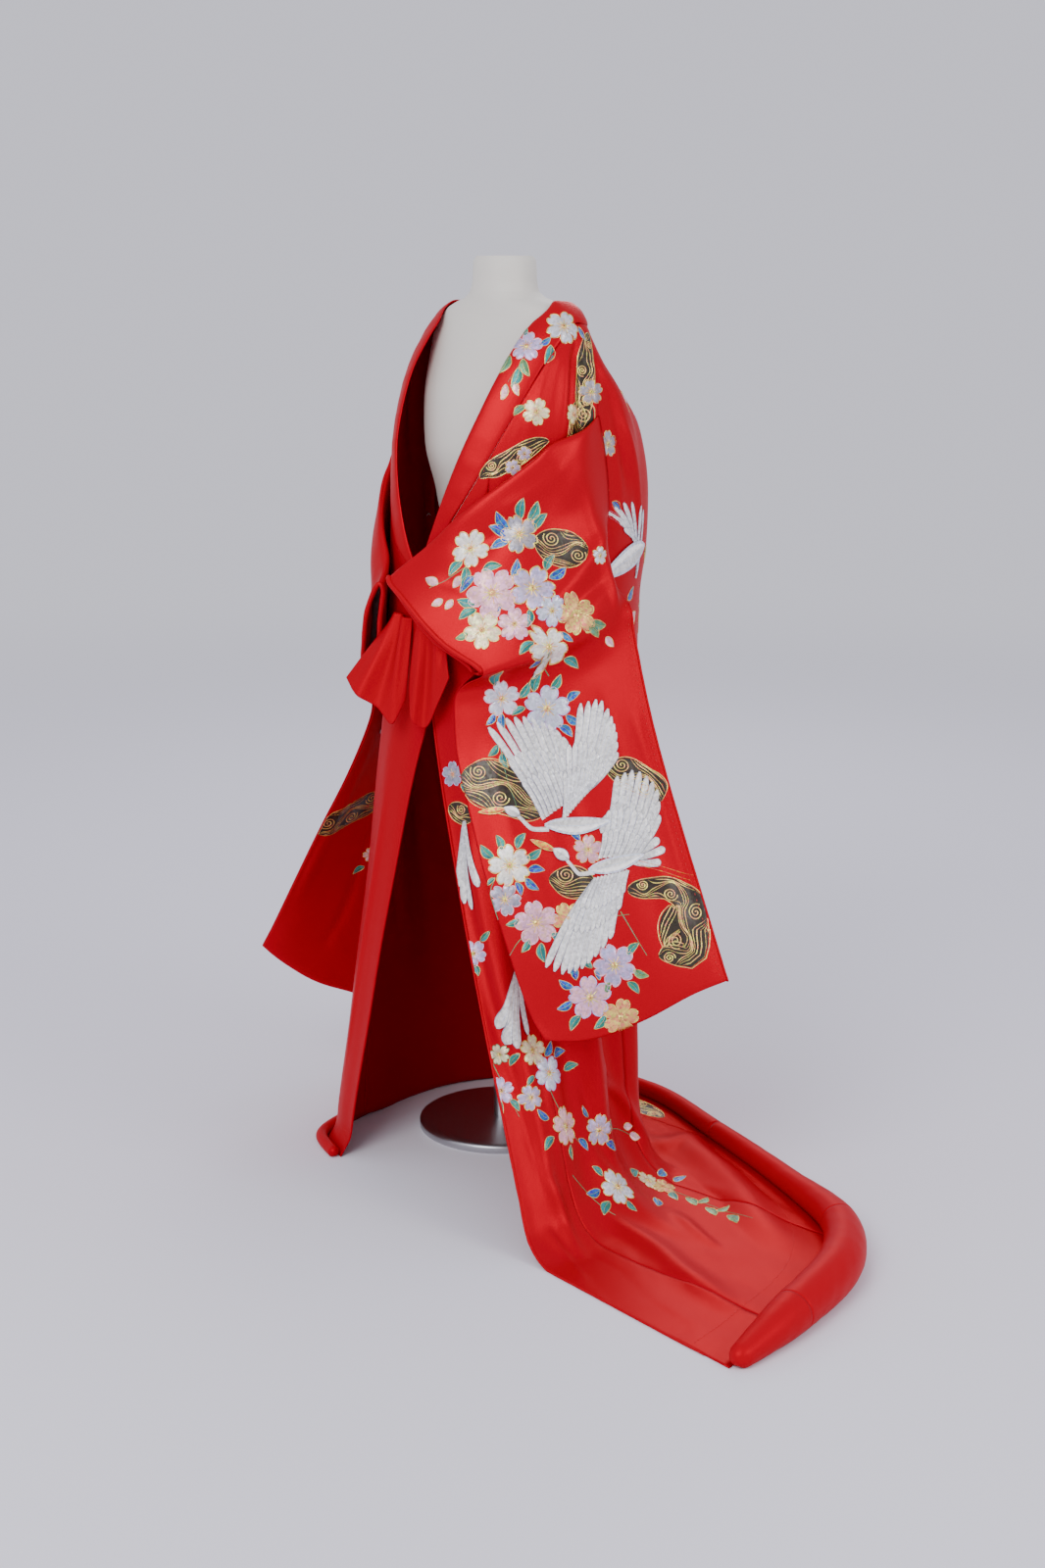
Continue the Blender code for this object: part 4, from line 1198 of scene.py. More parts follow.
@dataclass
class Sleeve:
    """One length of cloth folded along the top, closed at the wrist below its mouth."""

    robe: Robe
    name: str
    cloth: str
    table: tuple
    outward: int
    side_line: str
    across: int = 8
    down: int = 7
    mouth_rows: int = 6
    cuff_radius: float = 0.0042
    edge_cord: float = 0.0018
    swell: float = 0.0010

    def layers(self) -> tuple[Array, Array]:
        """The outer and the inner layer: columns from the wrist, rows from the top.

        Returns:
            Two grids of points.
        """
        values = curve_columns(self.table, np.array(SLEEVE_PLACES, float))
        wrist = np.stack(values[0:3], axis=1)
        open_side = np.stack(values[3:6], axis=1)
        wrist_depth, open_depth, bow = values[6:9]
        outer, inner = [], []
        for share in np.linspace(0, 1, SLEEVE_STEPS + 1):
            line = wrist + (open_side - wrist) * share
            run = open_side - wrist
            out = unit(np.stack([run[:, 1], -run[:, 0], np.zeros(len(run))], axis=1) * self.outward)
            hump = math.sin(math.pi * share)
            line = line + out * (bow * hump)[:, None]
            sag = smooth_share((np.array(SLEEVE_PLACES) - 7) / 3) * BOTTOM_SAG * hump
            line[:, 2] -= sag * (1 - share) * 1.5
            depth = wrist_depth + (open_depth - wrist_depth) * share**0.8
            outer.append(line)
            inner.append(line - out * depth[:, None])
        return np.array(outer), np.array(inner)

    def clear_of_body(self, points: Array, distance: float) -> Array:
        """Points moved out of the body, where they lie nearer to it than a distance.

        Args:
            points: the points.
            distance: in metres.

        Returns:
            The moved points.
        """
        near = slice(COLLAR_ROWS, COLLAR_ROWS + UPPER_ROWS + 8)
        places = self.robe.solid_grid[:, near].reshape(-1, 3)
        facing = self.body_normals[:, near].reshape(-1, 3)
        moved = points.copy()
        for i, point in enumerate(points):
            nearest = np.argmin(np.linalg.norm(places - point, axis=1))
            height = (point - places[nearest]) @ facing[nearest]
            moved[i] += facing[nearest] * max(0.0, distance - height)
        return moved

    def loop(self) -> tuple[Array, Array]:
        """The sleeve as closed rings of points, outer side and lining.

        Returns:
            Two grids at the solid's own resolution.
        """
        body = self.robe.solid_grid
        self.body_normals = grid_normals(body)
        outer, inner = self.layers()
        for column in range(SLEEVE_STEPS):
            depth = np.linalg.norm(outer[column] - inner[column], axis=1)
            inner[column] = self.clear_of_body(inner[column], BODY_CLEARANCE + WALL)
            for row in range(len(depth)):
                clear = BODY_CLEARANCE + WALL + min(depth[row], 0.02)
                outer[column, row] = self.clear_of_body(outer[column, row : row + 1], clear)[0]
        side = line_column(self.side_line)
        step = unit(body[side + 1] - body[side - 1])
        front, back = body[side].copy(), body[side].copy()
        for row, half in ARMHOLE_HALF_WIDTHS.items():
            front[row] -= step[row] * half
            back[row] += step[row] * half
        rows = [ARMHOLE_TOP_ROW + i for i in range(ARMHOLE_SEAM_ROWS)]
        toward_back = step if self.outward > 0 else -step
        rear, fore = (back, front) if self.outward > 0 else (front, back)
        clear = self.body_normals[side] * (3 * GAP)
        outer[-1, :ARMHOLE_SEAM_ROWS] = (rear + toward_back * ARMHOLE_LAP + clear)[rows]
        inner[-1, :ARMHOLE_SEAM_ROWS] = (fore - toward_back * ARMHOLE_LAP + clear)[rows]
        crown = (outer[:, :1] + inner[:, :1]) / 2
        crown[:, :, 2] += CROWN_RISE
        crown[:, 0] = self.clear_of_body(crown[:, 0], BODY_CLEARANCE + WALL)
        crown[-1, 0] = (body[side] + clear)[ARMHOLE_TOP_ROW]
        crown[-1, 0, 2] += CROWN_RISE
        loop = np.concatenate([crown, outer, inner[:, ::-1]], axis=1)
        if self.outward < 0:
            loop = loop[::-1]
        facing = grid_normals(loop, closed_rows=True)
        lining = loop - facing * WALL
        seam = -1 if self.outward > 0 else 0
        for i, row in enumerate(rows):
            lining[seam, 1 + i] = loop[seam, 1 + i] - toward_back[row] * WALL
            lining[seam, -1 - i] = loop[seam, -1 - i] + toward_back[row] * WALL
        lining[seam, 0] = loop[seam, 0]
        lining[seam, 0, 2] -= WALL
        return loop, lining

    def build(self) -> None:
        """Sews the sleeve and its padded cuff."""
        finishes = self.robe.finishes
        loop, lining = self.loop()
        plain = ClothSurface(loop, closed=True).finer(self.across, self.down)
        inside = ClothSurface(lining, closed=True).finer(self.across, self.down).points
        heights = crease_heights(self.cloth, plain)
        column, row = plain.places()
        uneven = np.sin(column * 0.9 + row * 1.3) * np.sin(row * 0.7 - column * 0.5 + 1.1)
        heights += self.swell * uneven
        keep = smooth_share(column / 0.6) * smooth_share((SLEEVE_STEPS - column) / 0.8)
        self.surface = plain.raised(heights * keep)
        inner = self.surface.points + (inside - plain.points) * (SHELL / WALL)
        piece = shell(f"{self.name}_cloth", self.surface.points, inner, closed_rows=True)
        dressed(piece, [finishes["satin"], finishes["lining"]], (self.name,))
        self.build_cuff()

    def build_cuff(self) -> None:
        """Rolls the padded edge round the sleeve's mouth."""
        edge = self.surface.points[0 if self.outward > 0 else -1]
        rows = len(edge)
        reach = self.mouth_rows * self.down
        path = np.concatenate([edge[rows - reach :], edge[: reach + 1]])[::2]
        path = np.concatenate([path, path[:1]])
        for _ in range(2):
            path[1:-1] = (path[:-2] + 2 * path[1:-1] + path[2:]) / 4
        tube(f"{self.name}_cuff", path, self.cuff_radius, self.robe.finishes["roll"])
        edge = self.surface.points[-1 if self.outward > 0 else 0]
        path = edge[self.free_rows()][::2]
        tube(f"{self.name}_open_edge", path, self.edge_cord, self.robe.finishes["roll"])

    def free_rows(self) -> slice:
        """The rows of the open side that aren't sewn to the body."""
        sewn = (ARMHOLE_SEAM_ROWS + 1) * self.down
        return slice(sewn, self.surface.points.shape[1] - sewn)


def tube(name: str, path: Array, radius: float, material: bpy.types.Material) -> None:
    """A soft round roll along a path, closed at both ends.

    Args:
        name: the piece's name.
        path: its middle line.
        radius: its radius.
        material: its finish.
    """
    run = unit(np.gradient(path, axis=0))
    side = unit(np.cross(run, TUBE_ASIDE))
    up = np.cross(side, run)
    turn = np.linspace(0, 2 * math.pi, TUBE_AROUND, endpoint=False)
    length = lengths_so_far(path)
    ends = np.clip(np.minimum(np.arange(len(path)), np.arange(len(path))[::-1]) / 3, 0, 1)
    sizes = radius * (0.35 + 0.65 * np.sqrt(ends)) * (1 + 0.06 * np.sin(length * 140))
    rings = (path[:, None] + side[:, None] * (np.cos(turn)[None, :, None] * sizes[:, None, None])
             + up[:, None] * (np.sin(turn)[None, :, None] * sizes[:, None, None]))
    piece = closed_body(name, rings, path[[0, -1]], flat_places(length, turn * radius))
    dressed(piece, [material])


class Thread(Enum):
    """The motifs' threads: linear red, green and blue, and how metallic they are."""

    SILVER = (0.70, 0.73, 0.84, 0.45)
    PEARL = (0.84, 0.82, 0.78, 0.20)
    LILAC = (0.52, 0.44, 0.72, 0.35)
    PINK = (0.82, 0.42, 0.50, 0.25)
    CREAM = (0.86, 0.74, 0.46, 0.30)
    AMBER = (0.78, 0.40, 0.13, 0.40)
    GREY = (0.36, 0.36, 0.46, 0.50)
    GOLD = (0.83, 0.55, 0.17, 0.85)
    TEAL = (0.010, 0.22, 0.20, 0.25)
    BLUE = (0.012, 0.12, 0.42, 0.25)
    GREEN = (0.09, 0.27, 0.12, 0.25)
    INK = (0.028, 0.018, 0.010, 0.30)
    ORANGE = (0.80, 0.25, 0.03, 0.10)

    @property
    def colour(self) -> Array:
        """Linear red, green and blue."""
        return np.array(self.value[:3])

    @property
    def metal(self) -> float:
        """How metallic it is, from 0 to 1."""
        return self.value[3]


PETALS = 5
PETAL_STEPS = 14
LEAF_POINTS = 12
FEATHER_POINTS = 20
FEATHER_BEND = 0.035
WING_LAYERS = ((1.0, 0.0056), (0.56, 0.0048), (0.32, 0.0042))
CORD_RISE = 0.0005
HEART_LIFTS = (0.0020, 0.0017, 0.0006)
HEART_METAL = 0.8
FLOW_STEP = 0.0056


def bent_strip(along: Array, across: Array, half: Array, length: float, bend: float) -> Array:
    """A flat strip that bows to one side.

    Args:
        along: shares of its length.
        across: shares of its half width.
        half: its half width at each place along it.
        length: in metres.
        bend: how far its middle is pushed aside, as a share of its length.

    Returns:
        Metres across and up, as a grid.
    """
    middle = bend * length * np.sin(math.pi * along)
    aside = middle[:, None] + half[:, None] * across
    return np.stack([aside, np.broadcast_to((along * length)[:, None], aside.shape)], axis=-1)


@dataclass
class Brocade:
    """The woven motifs on one cloth, kept as one mesh with a colour and a metal value a point."""

    name: str
    surface: ClothSurface
    points: list[Array] = field(default_factory=list)
    faces: list[Array] = field(default_factory=list)
    tints: list[Array] = field(default_factory=list)
    metals: list[Array] = field(default_factory=list)
    count: int = 0

    def __post_init__(self) -> None:
        """Starts the fixed series of small differences between motifs."""
        self.random = np.random.default_rng(11)

    def lay(self, points: Array, normals: Array, lift: Array, colour: Array, metal: Array | float) -> None:
        """Adds one grid of points.

        Args:
            points: the grid on the cloth.
            normals: the cloth's normals there.
            lift: metres above the cloth, one a point.
            colour: linear colour, one a point or one for all.
            metal: how metallic, one a point or one for all.
        """
        columns, rows = points.shape[:2]
        faces = grid_faces(columns, rows)
        raised = points + normals * lift[..., None]
        flat = raised.reshape(-1, 3)
        corner = flat[faces]
        facing = np.cross(corner[:, 2] - corner[:, 0], corner[:, 3] - corner[:, 1])
        if (facing * normals.reshape(-1, 3)[faces[:, 0]]).sum() < 0:
            faces = faces[:, ::-1]
        self.points.append(flat)
        self.faces.append(faces + self.count)
        self.tints.append(np.broadcast_to(colour, (columns, rows, 3)).reshape(-1, 3))
        self.metals.append(np.broadcast_to(metal, (columns, rows)).ravel())
        self.count += len(flat)

    def patch(self, anchor: Place, turn: float, local: Array, lift: Array, colour: Array,
              metal: Array | float) -> None:
        """Lays a grid of flat metric points round an anchor.

        Args:
            anchor: column and row.
            turn: degrees anticlockwise.
            local: metres across and up, as a grid.
            lift: metres above the cloth.
            colour: linear colour.
            metal: how metallic.
        """
        shape = local.shape[:2]
        lift = np.broadcast_to(lift, shape)
        anchors, turns = np.array([anchor], float), np.array([turn])
        points, normals = self.surface.spread(anchors, turns, local.reshape(1, -1, 2))
        self.lay(points.reshape(*shape, 3), normals.reshape(*shape, 3), lift, colour, metal)

    def line(self, anchor: Place, turn: float, path: Array, width: float, lift: float,
             thread: Thread) -> None:
        """Lays a cord along a flat metric path.

        Args:
            anchor: column and row.
            turn: degrees anticlockwise.
            path: metres across and up.
            width: of the cord.
            lift: of its middle.
            thread: what it is woven of.
        """
        run = unit(np.gradient(path, axis=0))
        side = np.stack([-run[:, 1], run[:, 0]], axis=1) * width / 2
        local = np.stack([path - side, path, path + side], axis=1)
        height = (lift - CORD_RISE, lift, lift - CORD_RISE)
        self.patch(anchor, turn, local, height, thread.colour, thread.metal)

    def blossom(self, column: float, row: float, radius: float, turn: float, petal: Thread,
                rim: Thread) -> None:
        """Lays a five-petalled cherry blossom.

        Args:
            column: place across.
            row: place down.
            radius: in metres.
            turn: degrees.
            petal: the petals' thread.
            rim: the thread round them.
        """
        theta = np.linspace(0, 2 * math.pi, PETALS * PETAL_STEPS + 1)
        petal_turn = theta / (2 * math.pi) * PETALS + 0.5
        local_turn = petal_turn % 1 - 0.5
        edge = radius * (0.50 + 0.50 * np.clip(np.cos(local_turn * math.pi), 0, 1) ** 0.55)
        edge *= 1 - 0.17 * np.exp(-((local_turn / 0.07) ** 2))
        share = np.linspace(0.05, 1, 6)
        r = edge[:, None] * share
        local = np.stack([r * np.cos(theta)[:, None], r * np.sin(theta)[:, None]], axis=-1)
        tone = (0.84 + 0.24 * self.random.random(PETALS))[petal_turn.astype(int) % PETALS]
        # Painted shade: each petal darkens along the crease where it meets the next, and this darkening is
        # carried into the petals' colour below.
        crease = 1 - 0.35 * np.exp(-(((0.5 - np.abs(local_turn)) / 0.05) ** 2))
        blush = 0.5 * (1 - share) ** 1.3
        pale = petal.colour * tone[:, None] * crease[:, None]
        colour = pale[:, None, :] * (1 - blush[None, :, None]) + rim.colour * blush[None, :, None] * 0.8
        ribs = 1 + 0.08 * np.cos(local_turn * 40)[:, None, None] * share[None, :, None]
        lift = 0.00035 + 0.00055 * np.sin(share * math.pi)[None, :] - 0.0004 * (share[None, :] == 1)
        anchor = (column, row)
        self.patch(anchor, turn, local, lift, colour * ribs, petal.metal)
        self.line(anchor, turn, local[:, -1], max(0.0011, radius * 0.062), 0.0008, rim)
        for i in range(2 * PETALS):
            angle = (i + 0.5) * math.pi / PETALS
            away = np.linspace(radius * 0.08, radius * (0.30 if i % 2 else 0.42), 4)
            stamen = away[:, None] * np.array((math.cos(angle), math.sin(angle)))
            self.line(anchor, turn, stamen, radius * 0.035 + 0.0003, 0.0013, Thread.GOLD)
        heart = np.linspace(0.001, radius * 0.15, 3)
        round_it = theta[::7, None]
        disc = np.stack([heart * np.cos(round_it), heart * np.sin(round_it)], axis=-1)
        self.patch(anchor, turn, disc, HEART_LIFTS, Thread.GOLD.colour, HEART_METAL)

    def leaf(self, start: Place, stop: Place, share: float, thread: Thread,
             rim: Thread = Thread.GOLD, bend: float = 0.0, lift: float = 0.0) -> None:
        """Lays a pointed leaf from its stalk to its tip.

        Args:
            start: column and row of the stalk.
            stop: column and row of the tip.
            share: half its width, as a share of its length.
            thread: its fill.
            rim: its outline and midrib.
            bend: how far its middle is pushed aside, as a share of its length.
            lift: metres above the other motifs.
        """
        turn, length = self.surface.aim(start, stop)
        along, across = np.linspace(0, 1, LEAF_POINTS), np.linspace(-1, 1, 5)
        half = share * length * np.clip(np.sin(math.pi * along**0.85), 0, 1) ** 0.85
        local = bent_strip(along, across, half, length, bend)
        shade = 0.75 + 0.55 * (across > 0) * np.ones((LEAF_POINTS, 1)) + 0.25 * along[:, None]
        height = lift + 0.0003 + 0.00035 * (1 - across**2) - 0.0004 * (np.abs(across) == 1)
        self.patch(start, turn, local, height, thread.colour * shade[..., None], thread.metal)
        outline = np.concatenate([local[:, 0], local[::-1, -1]])
        self.line(start, turn, outline, max(0.0009, length * 0.035), lift + 0.0007, rim)
        self.line(start, turn, local[:-1, 2], max(0.0006, length * 0.022), lift + 0.0009, rim)

    def feather(self, start: Place, stop: Place, half: float, thread: Thread, lift: float) -> None:
        """Lays one long feather with a round tip.

        Args:
            start: column and row of its root.
            stop: column and row of its tip.
            half: half its width in metres.
            thread: its fill.
            lift: metres above the cloth.
        """
        turn, length = self.surface.aim(start, stop)
        along, across = np.linspace(0, 1, FEATHER_POINTS), np.linspace(-1, 1, 5)
        tip = np.sqrt(np.clip(1 - ((along - 0.86) / 0.145).clip(0) ** 2, 0.02, 1))
        width = half * (0.55 + 0.45 * along**0.6) * tip
        local = bent_strip(along, across, width, length, FEATHER_BEND)
        tone = 0.80 + 0.20 * np.cos(across * 1.2) + 0.10 * np.sin(along[:, None] * 60 + across * 2)
        tone = tone * (0.82 + 0.2 * along[:, None]) * (0.94 + 0.12 * self.random.random())
        height = lift + 0.0005 * (1 - across**2) - 0.0003
        self.patch(start, turn, local, height, thread.colour * tone[..., None], thread.metal)
        outline = np.concatenate([local[2:, 0], local[:1:-1, -1]])
        self.line(start, turn, outline, 0.0007, lift + 0.0003, Thread.GREY)
        self.line(start, turn, local[:-2, 2], 0.0007, lift + 0.0007, Thread.SILVER)

    def wing(self, arm: tuple, tips: tuple, feathers: int, thread: Thread, lift: float) -> None:
        """Lays a spread wing: long feathers, then two shorter layers over their roots.

        Args:
            arm: the places of the wing's inner and outer joint.
            tips: places along the line of the feathers' tips.
            feathers: how many long ones.
            thread: their fill.
            lift: of the lowest layer.
        """
        arm, tips = np.array(arm, float), np.array(tips, float)
        spread = curve_columns(tips, np.linspace(0, len(tips) - 1, feathers))
        for layer, (reach, half) in enumerate(WING_LAYERS):
            for i in range(feathers):
                share = i / (feathers - 1)
                root = arm[0] + (arm[1] - arm[0]) * share
                tip = root + (np.array((spread[0][i], spread[1][i])) - root) * reach
                self.feather(tuple(root), tuple(tip), half, thread, lift + layer * 0.0004)

    def twig(self, path: tuple, width: float, thread: Thread, lift: float = 0.0005) -> None:
        """Lays a narrow band along a line of places.

        Args:
            path: places.
            width: in metres, at its start.
            thread: its fill.
            lift: of its middle.
        """
        path = np.array(path, float)
        fine = np.linspace(0, len(path) - 1, 8 * (len(path) - 1) + 1)
        points, normals = self.surface.at(*curve_columns(path, fine))
        side = unit(np.cross(normals, np.gradient(points, axis=0)))
        halves = np.linspace(width, width * 0.6, len(fine))[:, None, None] / 2
        grid = points[:, None] + side[:, None] * np.array((-1, -0.5, 0, 0.5, 1))[None, :, None] * halves
        lifts = np.array((-0.0002, lift * 0.8, lift, lift * 0.8, -0.0002))
        facing = np.broadcast_to(normals[:, None], grid.shape)
        self.lay(grid, facing, np.broadcast_to(lifts, grid.shape[:2]), thread.colour, thread.metal)

    def stream(self, path: tuple, swirl: float = 0.046) -> None:
        """Lays a round-ended band of swirling water: dark ground with gold lines.

        Args:
            path: column, row and half width in metres of each place along it.
            swirl: metres from one eddy to the next.
        """
        spans = len(path) - 1
        column, row, half = curve_columns(path, np.linspace(0, spans, 14 * spans + 1))
        anchors = np.stack([column, row], axis=1)
        here, across, up = self.surface.frames(anchors)
        run = np.gradient(here, axis=0)
        turns = np.degrees(np.arctan2(-(run * across).sum(axis=1), (run * up).sum(axis=1)))
        turns = np.degrees(np.unwrap(np.radians(turns)))
        length = lengths_along(here)
        total = length[-1]
        x = np.linspace(0, total, max(24, int(total / 0.002)))
        anchors = np.stack([np.interp(x, length, anchors[:, i]) for i in (0, 1)], axis=1)
        turns = np.interp(x, length, turns)
        cap = min(0.35 * total, 0.030)
        to_end = np.clip(np.minimum(x, total - x) / cap, 0, 1)
        half = np.maximum(np.interp(x, length, half) * np.sqrt(1 - (1 - to_end) ** 2), 0.0006)
        shares = np.linspace(-1, 1, 15)
        flat = np.zeros((len(x), len(shares), 2))
        flat[:, :, 0] = half[:, None] * shares
        points, normals = self.surface.spread(anchors, turns, flat)
        height = np.where(np.abs(shares) == 1, -0.0002, 0.0003)
        height = np.broadcast_to(height, points.shape[:2])
        self.lay(points, normals, height, Thread.INK.colour, Thread.INK.metal)
        for side in (-1, 1):
            self.flow(anchors, turns, side * half, np.full(len(x), 0.0016))
        self.eddies(anchors, turns, half, x, swirl)

    def flow(self, anchors: Array, turns: Array, aside: Array, width: Array) -> None:
        """Lays one gold line along a stream.

        Args:
            anchors: places along the stream's middle.
            turns: the middle's direction at each.
            aside: how far the line lies from the middle at each.
            width: its width at each.
        """
        flat = np.stack([aside - width / 2, aside, aside + width / 2], axis=1)
        local = np.stack([flat, np.zeros_like(flat)], axis=-1)
        points, normals = self.surface.spread(anchors, turns, local)
        height = np.broadcast_to((0.0001, 0.0008, 0.0001), points.shape[:2])
        self.lay(points, normals, height, Thread.GOLD.colour, Thread.GOLD.metal)

    def eddies(self, anchors: Array, turns: Array, half: Array, x: Array, swirl: float) -> None:
        """Lays the gold flow lines and the eddies of a stream.

        Args:
            anchors: places along the stream's middle.
            turns: the middle's direction at each.
            half: half the stream's width at each.
            x: metres along it at each.
            swirl: metres from one eddy to the next.
        """
        total = x[-1]
        centres = np.arange(swirl * 0.55, total - swirl * 0.25, swirl)
        eyes = [(0.40 if i % 2 else -0.40) * float(np.interp(c, x, half)) for i, c in enumerate(centres)]
        reaches = [min(0.0125, float(np.interp(c, x, half)) * 0.55) for c in centres]
        level = -half.max()
        number = 0
        while level < half.max():
            y = np.full(len(x), level)
            for centre, eye, reach in zip(centres, eyes, reaches):
                away = np.hypot(x - centre, level - eye)
                push = reach * 1.25 * np.exp(-((away / (reach * 1.5)) ** 2))
                y = y + np.where(level >= eye, push, -push)
            y = y + 0.0022 * np.sin(x * 62 + number * 0.8)
            inside = (np.abs(y) < half - 0.0016) & np.all([
                np.hypot(x - c, y - e) > r * 1.08 for c, e, r in zip(centres, eyes, reaches)
            ] or [np.ones(len(x), bool)], axis=0)
            width = 0.0017 + 0.0007 * np.sin(x * 85 + number * 1.7)
            edges = np.flatnonzero(np.diff(np.concatenate([[0], inside.astype(int), [0]])))
            for start, stop in zip(edges[::2], edges[1::2]):
                if stop - start > 4:
                    part = slice(start, stop)
                    steps = np.arange(stop - start)
                    taper = np.clip(np.minimum(steps, steps[::-1]) / 4, 0.25, 1)
                    self.flow(anchors[part], turns[part], y[part], width[part] * taper)
            level += FLOW_STEP
            number += 1
        for i, (centre, eye, reach) in enumerate(zip(centres, eyes, reaches)):
            place = tuple(float(np.interp(centre, x, anchors[:, k])) for k in (0, 1))
            angle = np.linspace(0, 4.6 * math.pi, 60)
            grow = np.linspace(0.06, 1, 60) * reach
            way = 1 if i % 2 else -1
            spiral = np.stack([eye + grow * np.cos(angle), way * grow * np.sin(angle) * 1.1], axis=1)
            self.line(place, float(np.interp(centre, x, turns)), spiral, 0.0017, 0.0009, Thread.GOLD)

    def build(self, finishes: Finishes) -> bpy.types.Object:
        """Makes the motifs' object, with the material named brocade.

        Args:
            finishes: the materials by name.

        Returns:
            The object.
        """
        points, faces = np.concatenate(self.points), np.concatenate(self.faces)
        piece = new_mesh(self.name, points, faces)
        tints = piece.data.attributes.new("tint", "FLOAT_COLOR", "POINT")
        rgba = np.concatenate([np.concatenate(self.tints), np.ones((len(points), 1))], axis=1)
        tints.data.foreach_set("color", rgba.astype(np.float32).ravel())
        metals = piece.data.attributes.new("metal", "FLOAT", "POINT")
        metals.data.foreach_set("value", np.concatenate(self.metals).astype(np.float32))
        return dressed(piece, [finishes["brocade"]])


@dataclass(frozen=True)
class Crane:
    """One flying crane, each part given by places in the photo's pixels."""

    cloth: str
    wings: tuple
    body: tuple
    neck: tuple
    head: tuple
    beak: tuple
    tail: tuple
    legs: tuple


BLOSSOMS = (
    # cloth, then x, y, radius in mm, turn, petal and rim of each
    ("body", (
        (575, 333, 29, 10, "SILVER", "GOLD"), (537, 353, 26, 40, "LILAC", "PINK"),
        (547, 420, 22, 0, "CREAM", "GOLD"), (603, 400, 21, 20, "GREY", "GOLD"),
        (585, 423, 17, 50, "CREAM", "GOLD"), (523, 477, 13, 0, "LILAC", "GOLD"),
        (535, 463, 12, 30, "LILAC", "GOLD"), (620, 453, 22, 15, "GREY", "GOLD"),
        (608, 505, 31, 5, "SILVER", "GOLD"), (575, 527, 32, 30, "SILVER", "PINK"),
    )),
    ("left", (
        (530, 545, 31, 10, "GREY", "GOLD"),
    )),
    ("body", (
        (603, 550, 21, 40, "CREAM", "GOLD"),
    )),
    ("left", (
        (612, 567, 15, 0, "SILVER", "GOLD"), (480, 560, 31, 20, "PEARL", "GOLD"),
        (502, 605, 42, 12, "PINK", "PINK"), (543, 600, 37, 33, "LILAC", "GOLD"),
        (492, 643, 31, 5, "CREAM", "GOLD"), (525, 637, 27, 44, "PINK", "PINK"),
        (563, 623, 26, 20, "SILVER", "LILAC"), (588, 627, 34, 8, "AMBER", "GOLD"),
        (560, 660, 32, 50, "PEARL", "GOLD"), (512, 713, 29, 25, "SILVER", "PINK"),
        (558, 723, 37, 4, "SILVER", "LILAC"), (520, 883, 34, 20, "PEARL", "GOLD"),
        (515, 918, 26, 50, "GREY", "PINK"), (547, 942, 35, 12, "PINK", "PINK"),
        (580, 937, 26, 35, "AMBER", "GOLD"), (600, 867, 24, 0, "PINK", "AMBER"),
        (627, 985, 34, 30, "LILAC", "PINK"), (602, 1018, 34, 8, "PINK", "LILAC"),
        (633, 1038, 29, 55, "AMBER", "GOLD"),
    )),
    ("body", (
        (462, 790, 21, 10, "GREY", "LILAC"), (483, 973, 22, 40, "LILAC", "PINK"),
        (543, 1072, 26, 10, "CREAM", "GOLD"), (509, 1076, 17, 30, "CREAM", "GREEN"),
        (560, 1095, 29, 50, "SILVER", "LILAC"), (511, 1113, 22, 15, "LILAC", "PINK"),
        (542, 1120, 21, 35, "LILAC", "GOLD"), (577, 1149, 32, 20, "PINK", "GOLD"),
        (611, 1153, 26, 0, "LILAC", "GOLD"), (630, 1211, 32, 28, "SILVER", "GOLD"),
        (661, 1205, 21, 10, "CREAM", "GOLD"), (676, 1211, 22, 44, "AMBER", "GOLD"),
    )),
    ("right", (
        (378, 872, 15, 10, "PINK", "GOLD"),
    )),
)
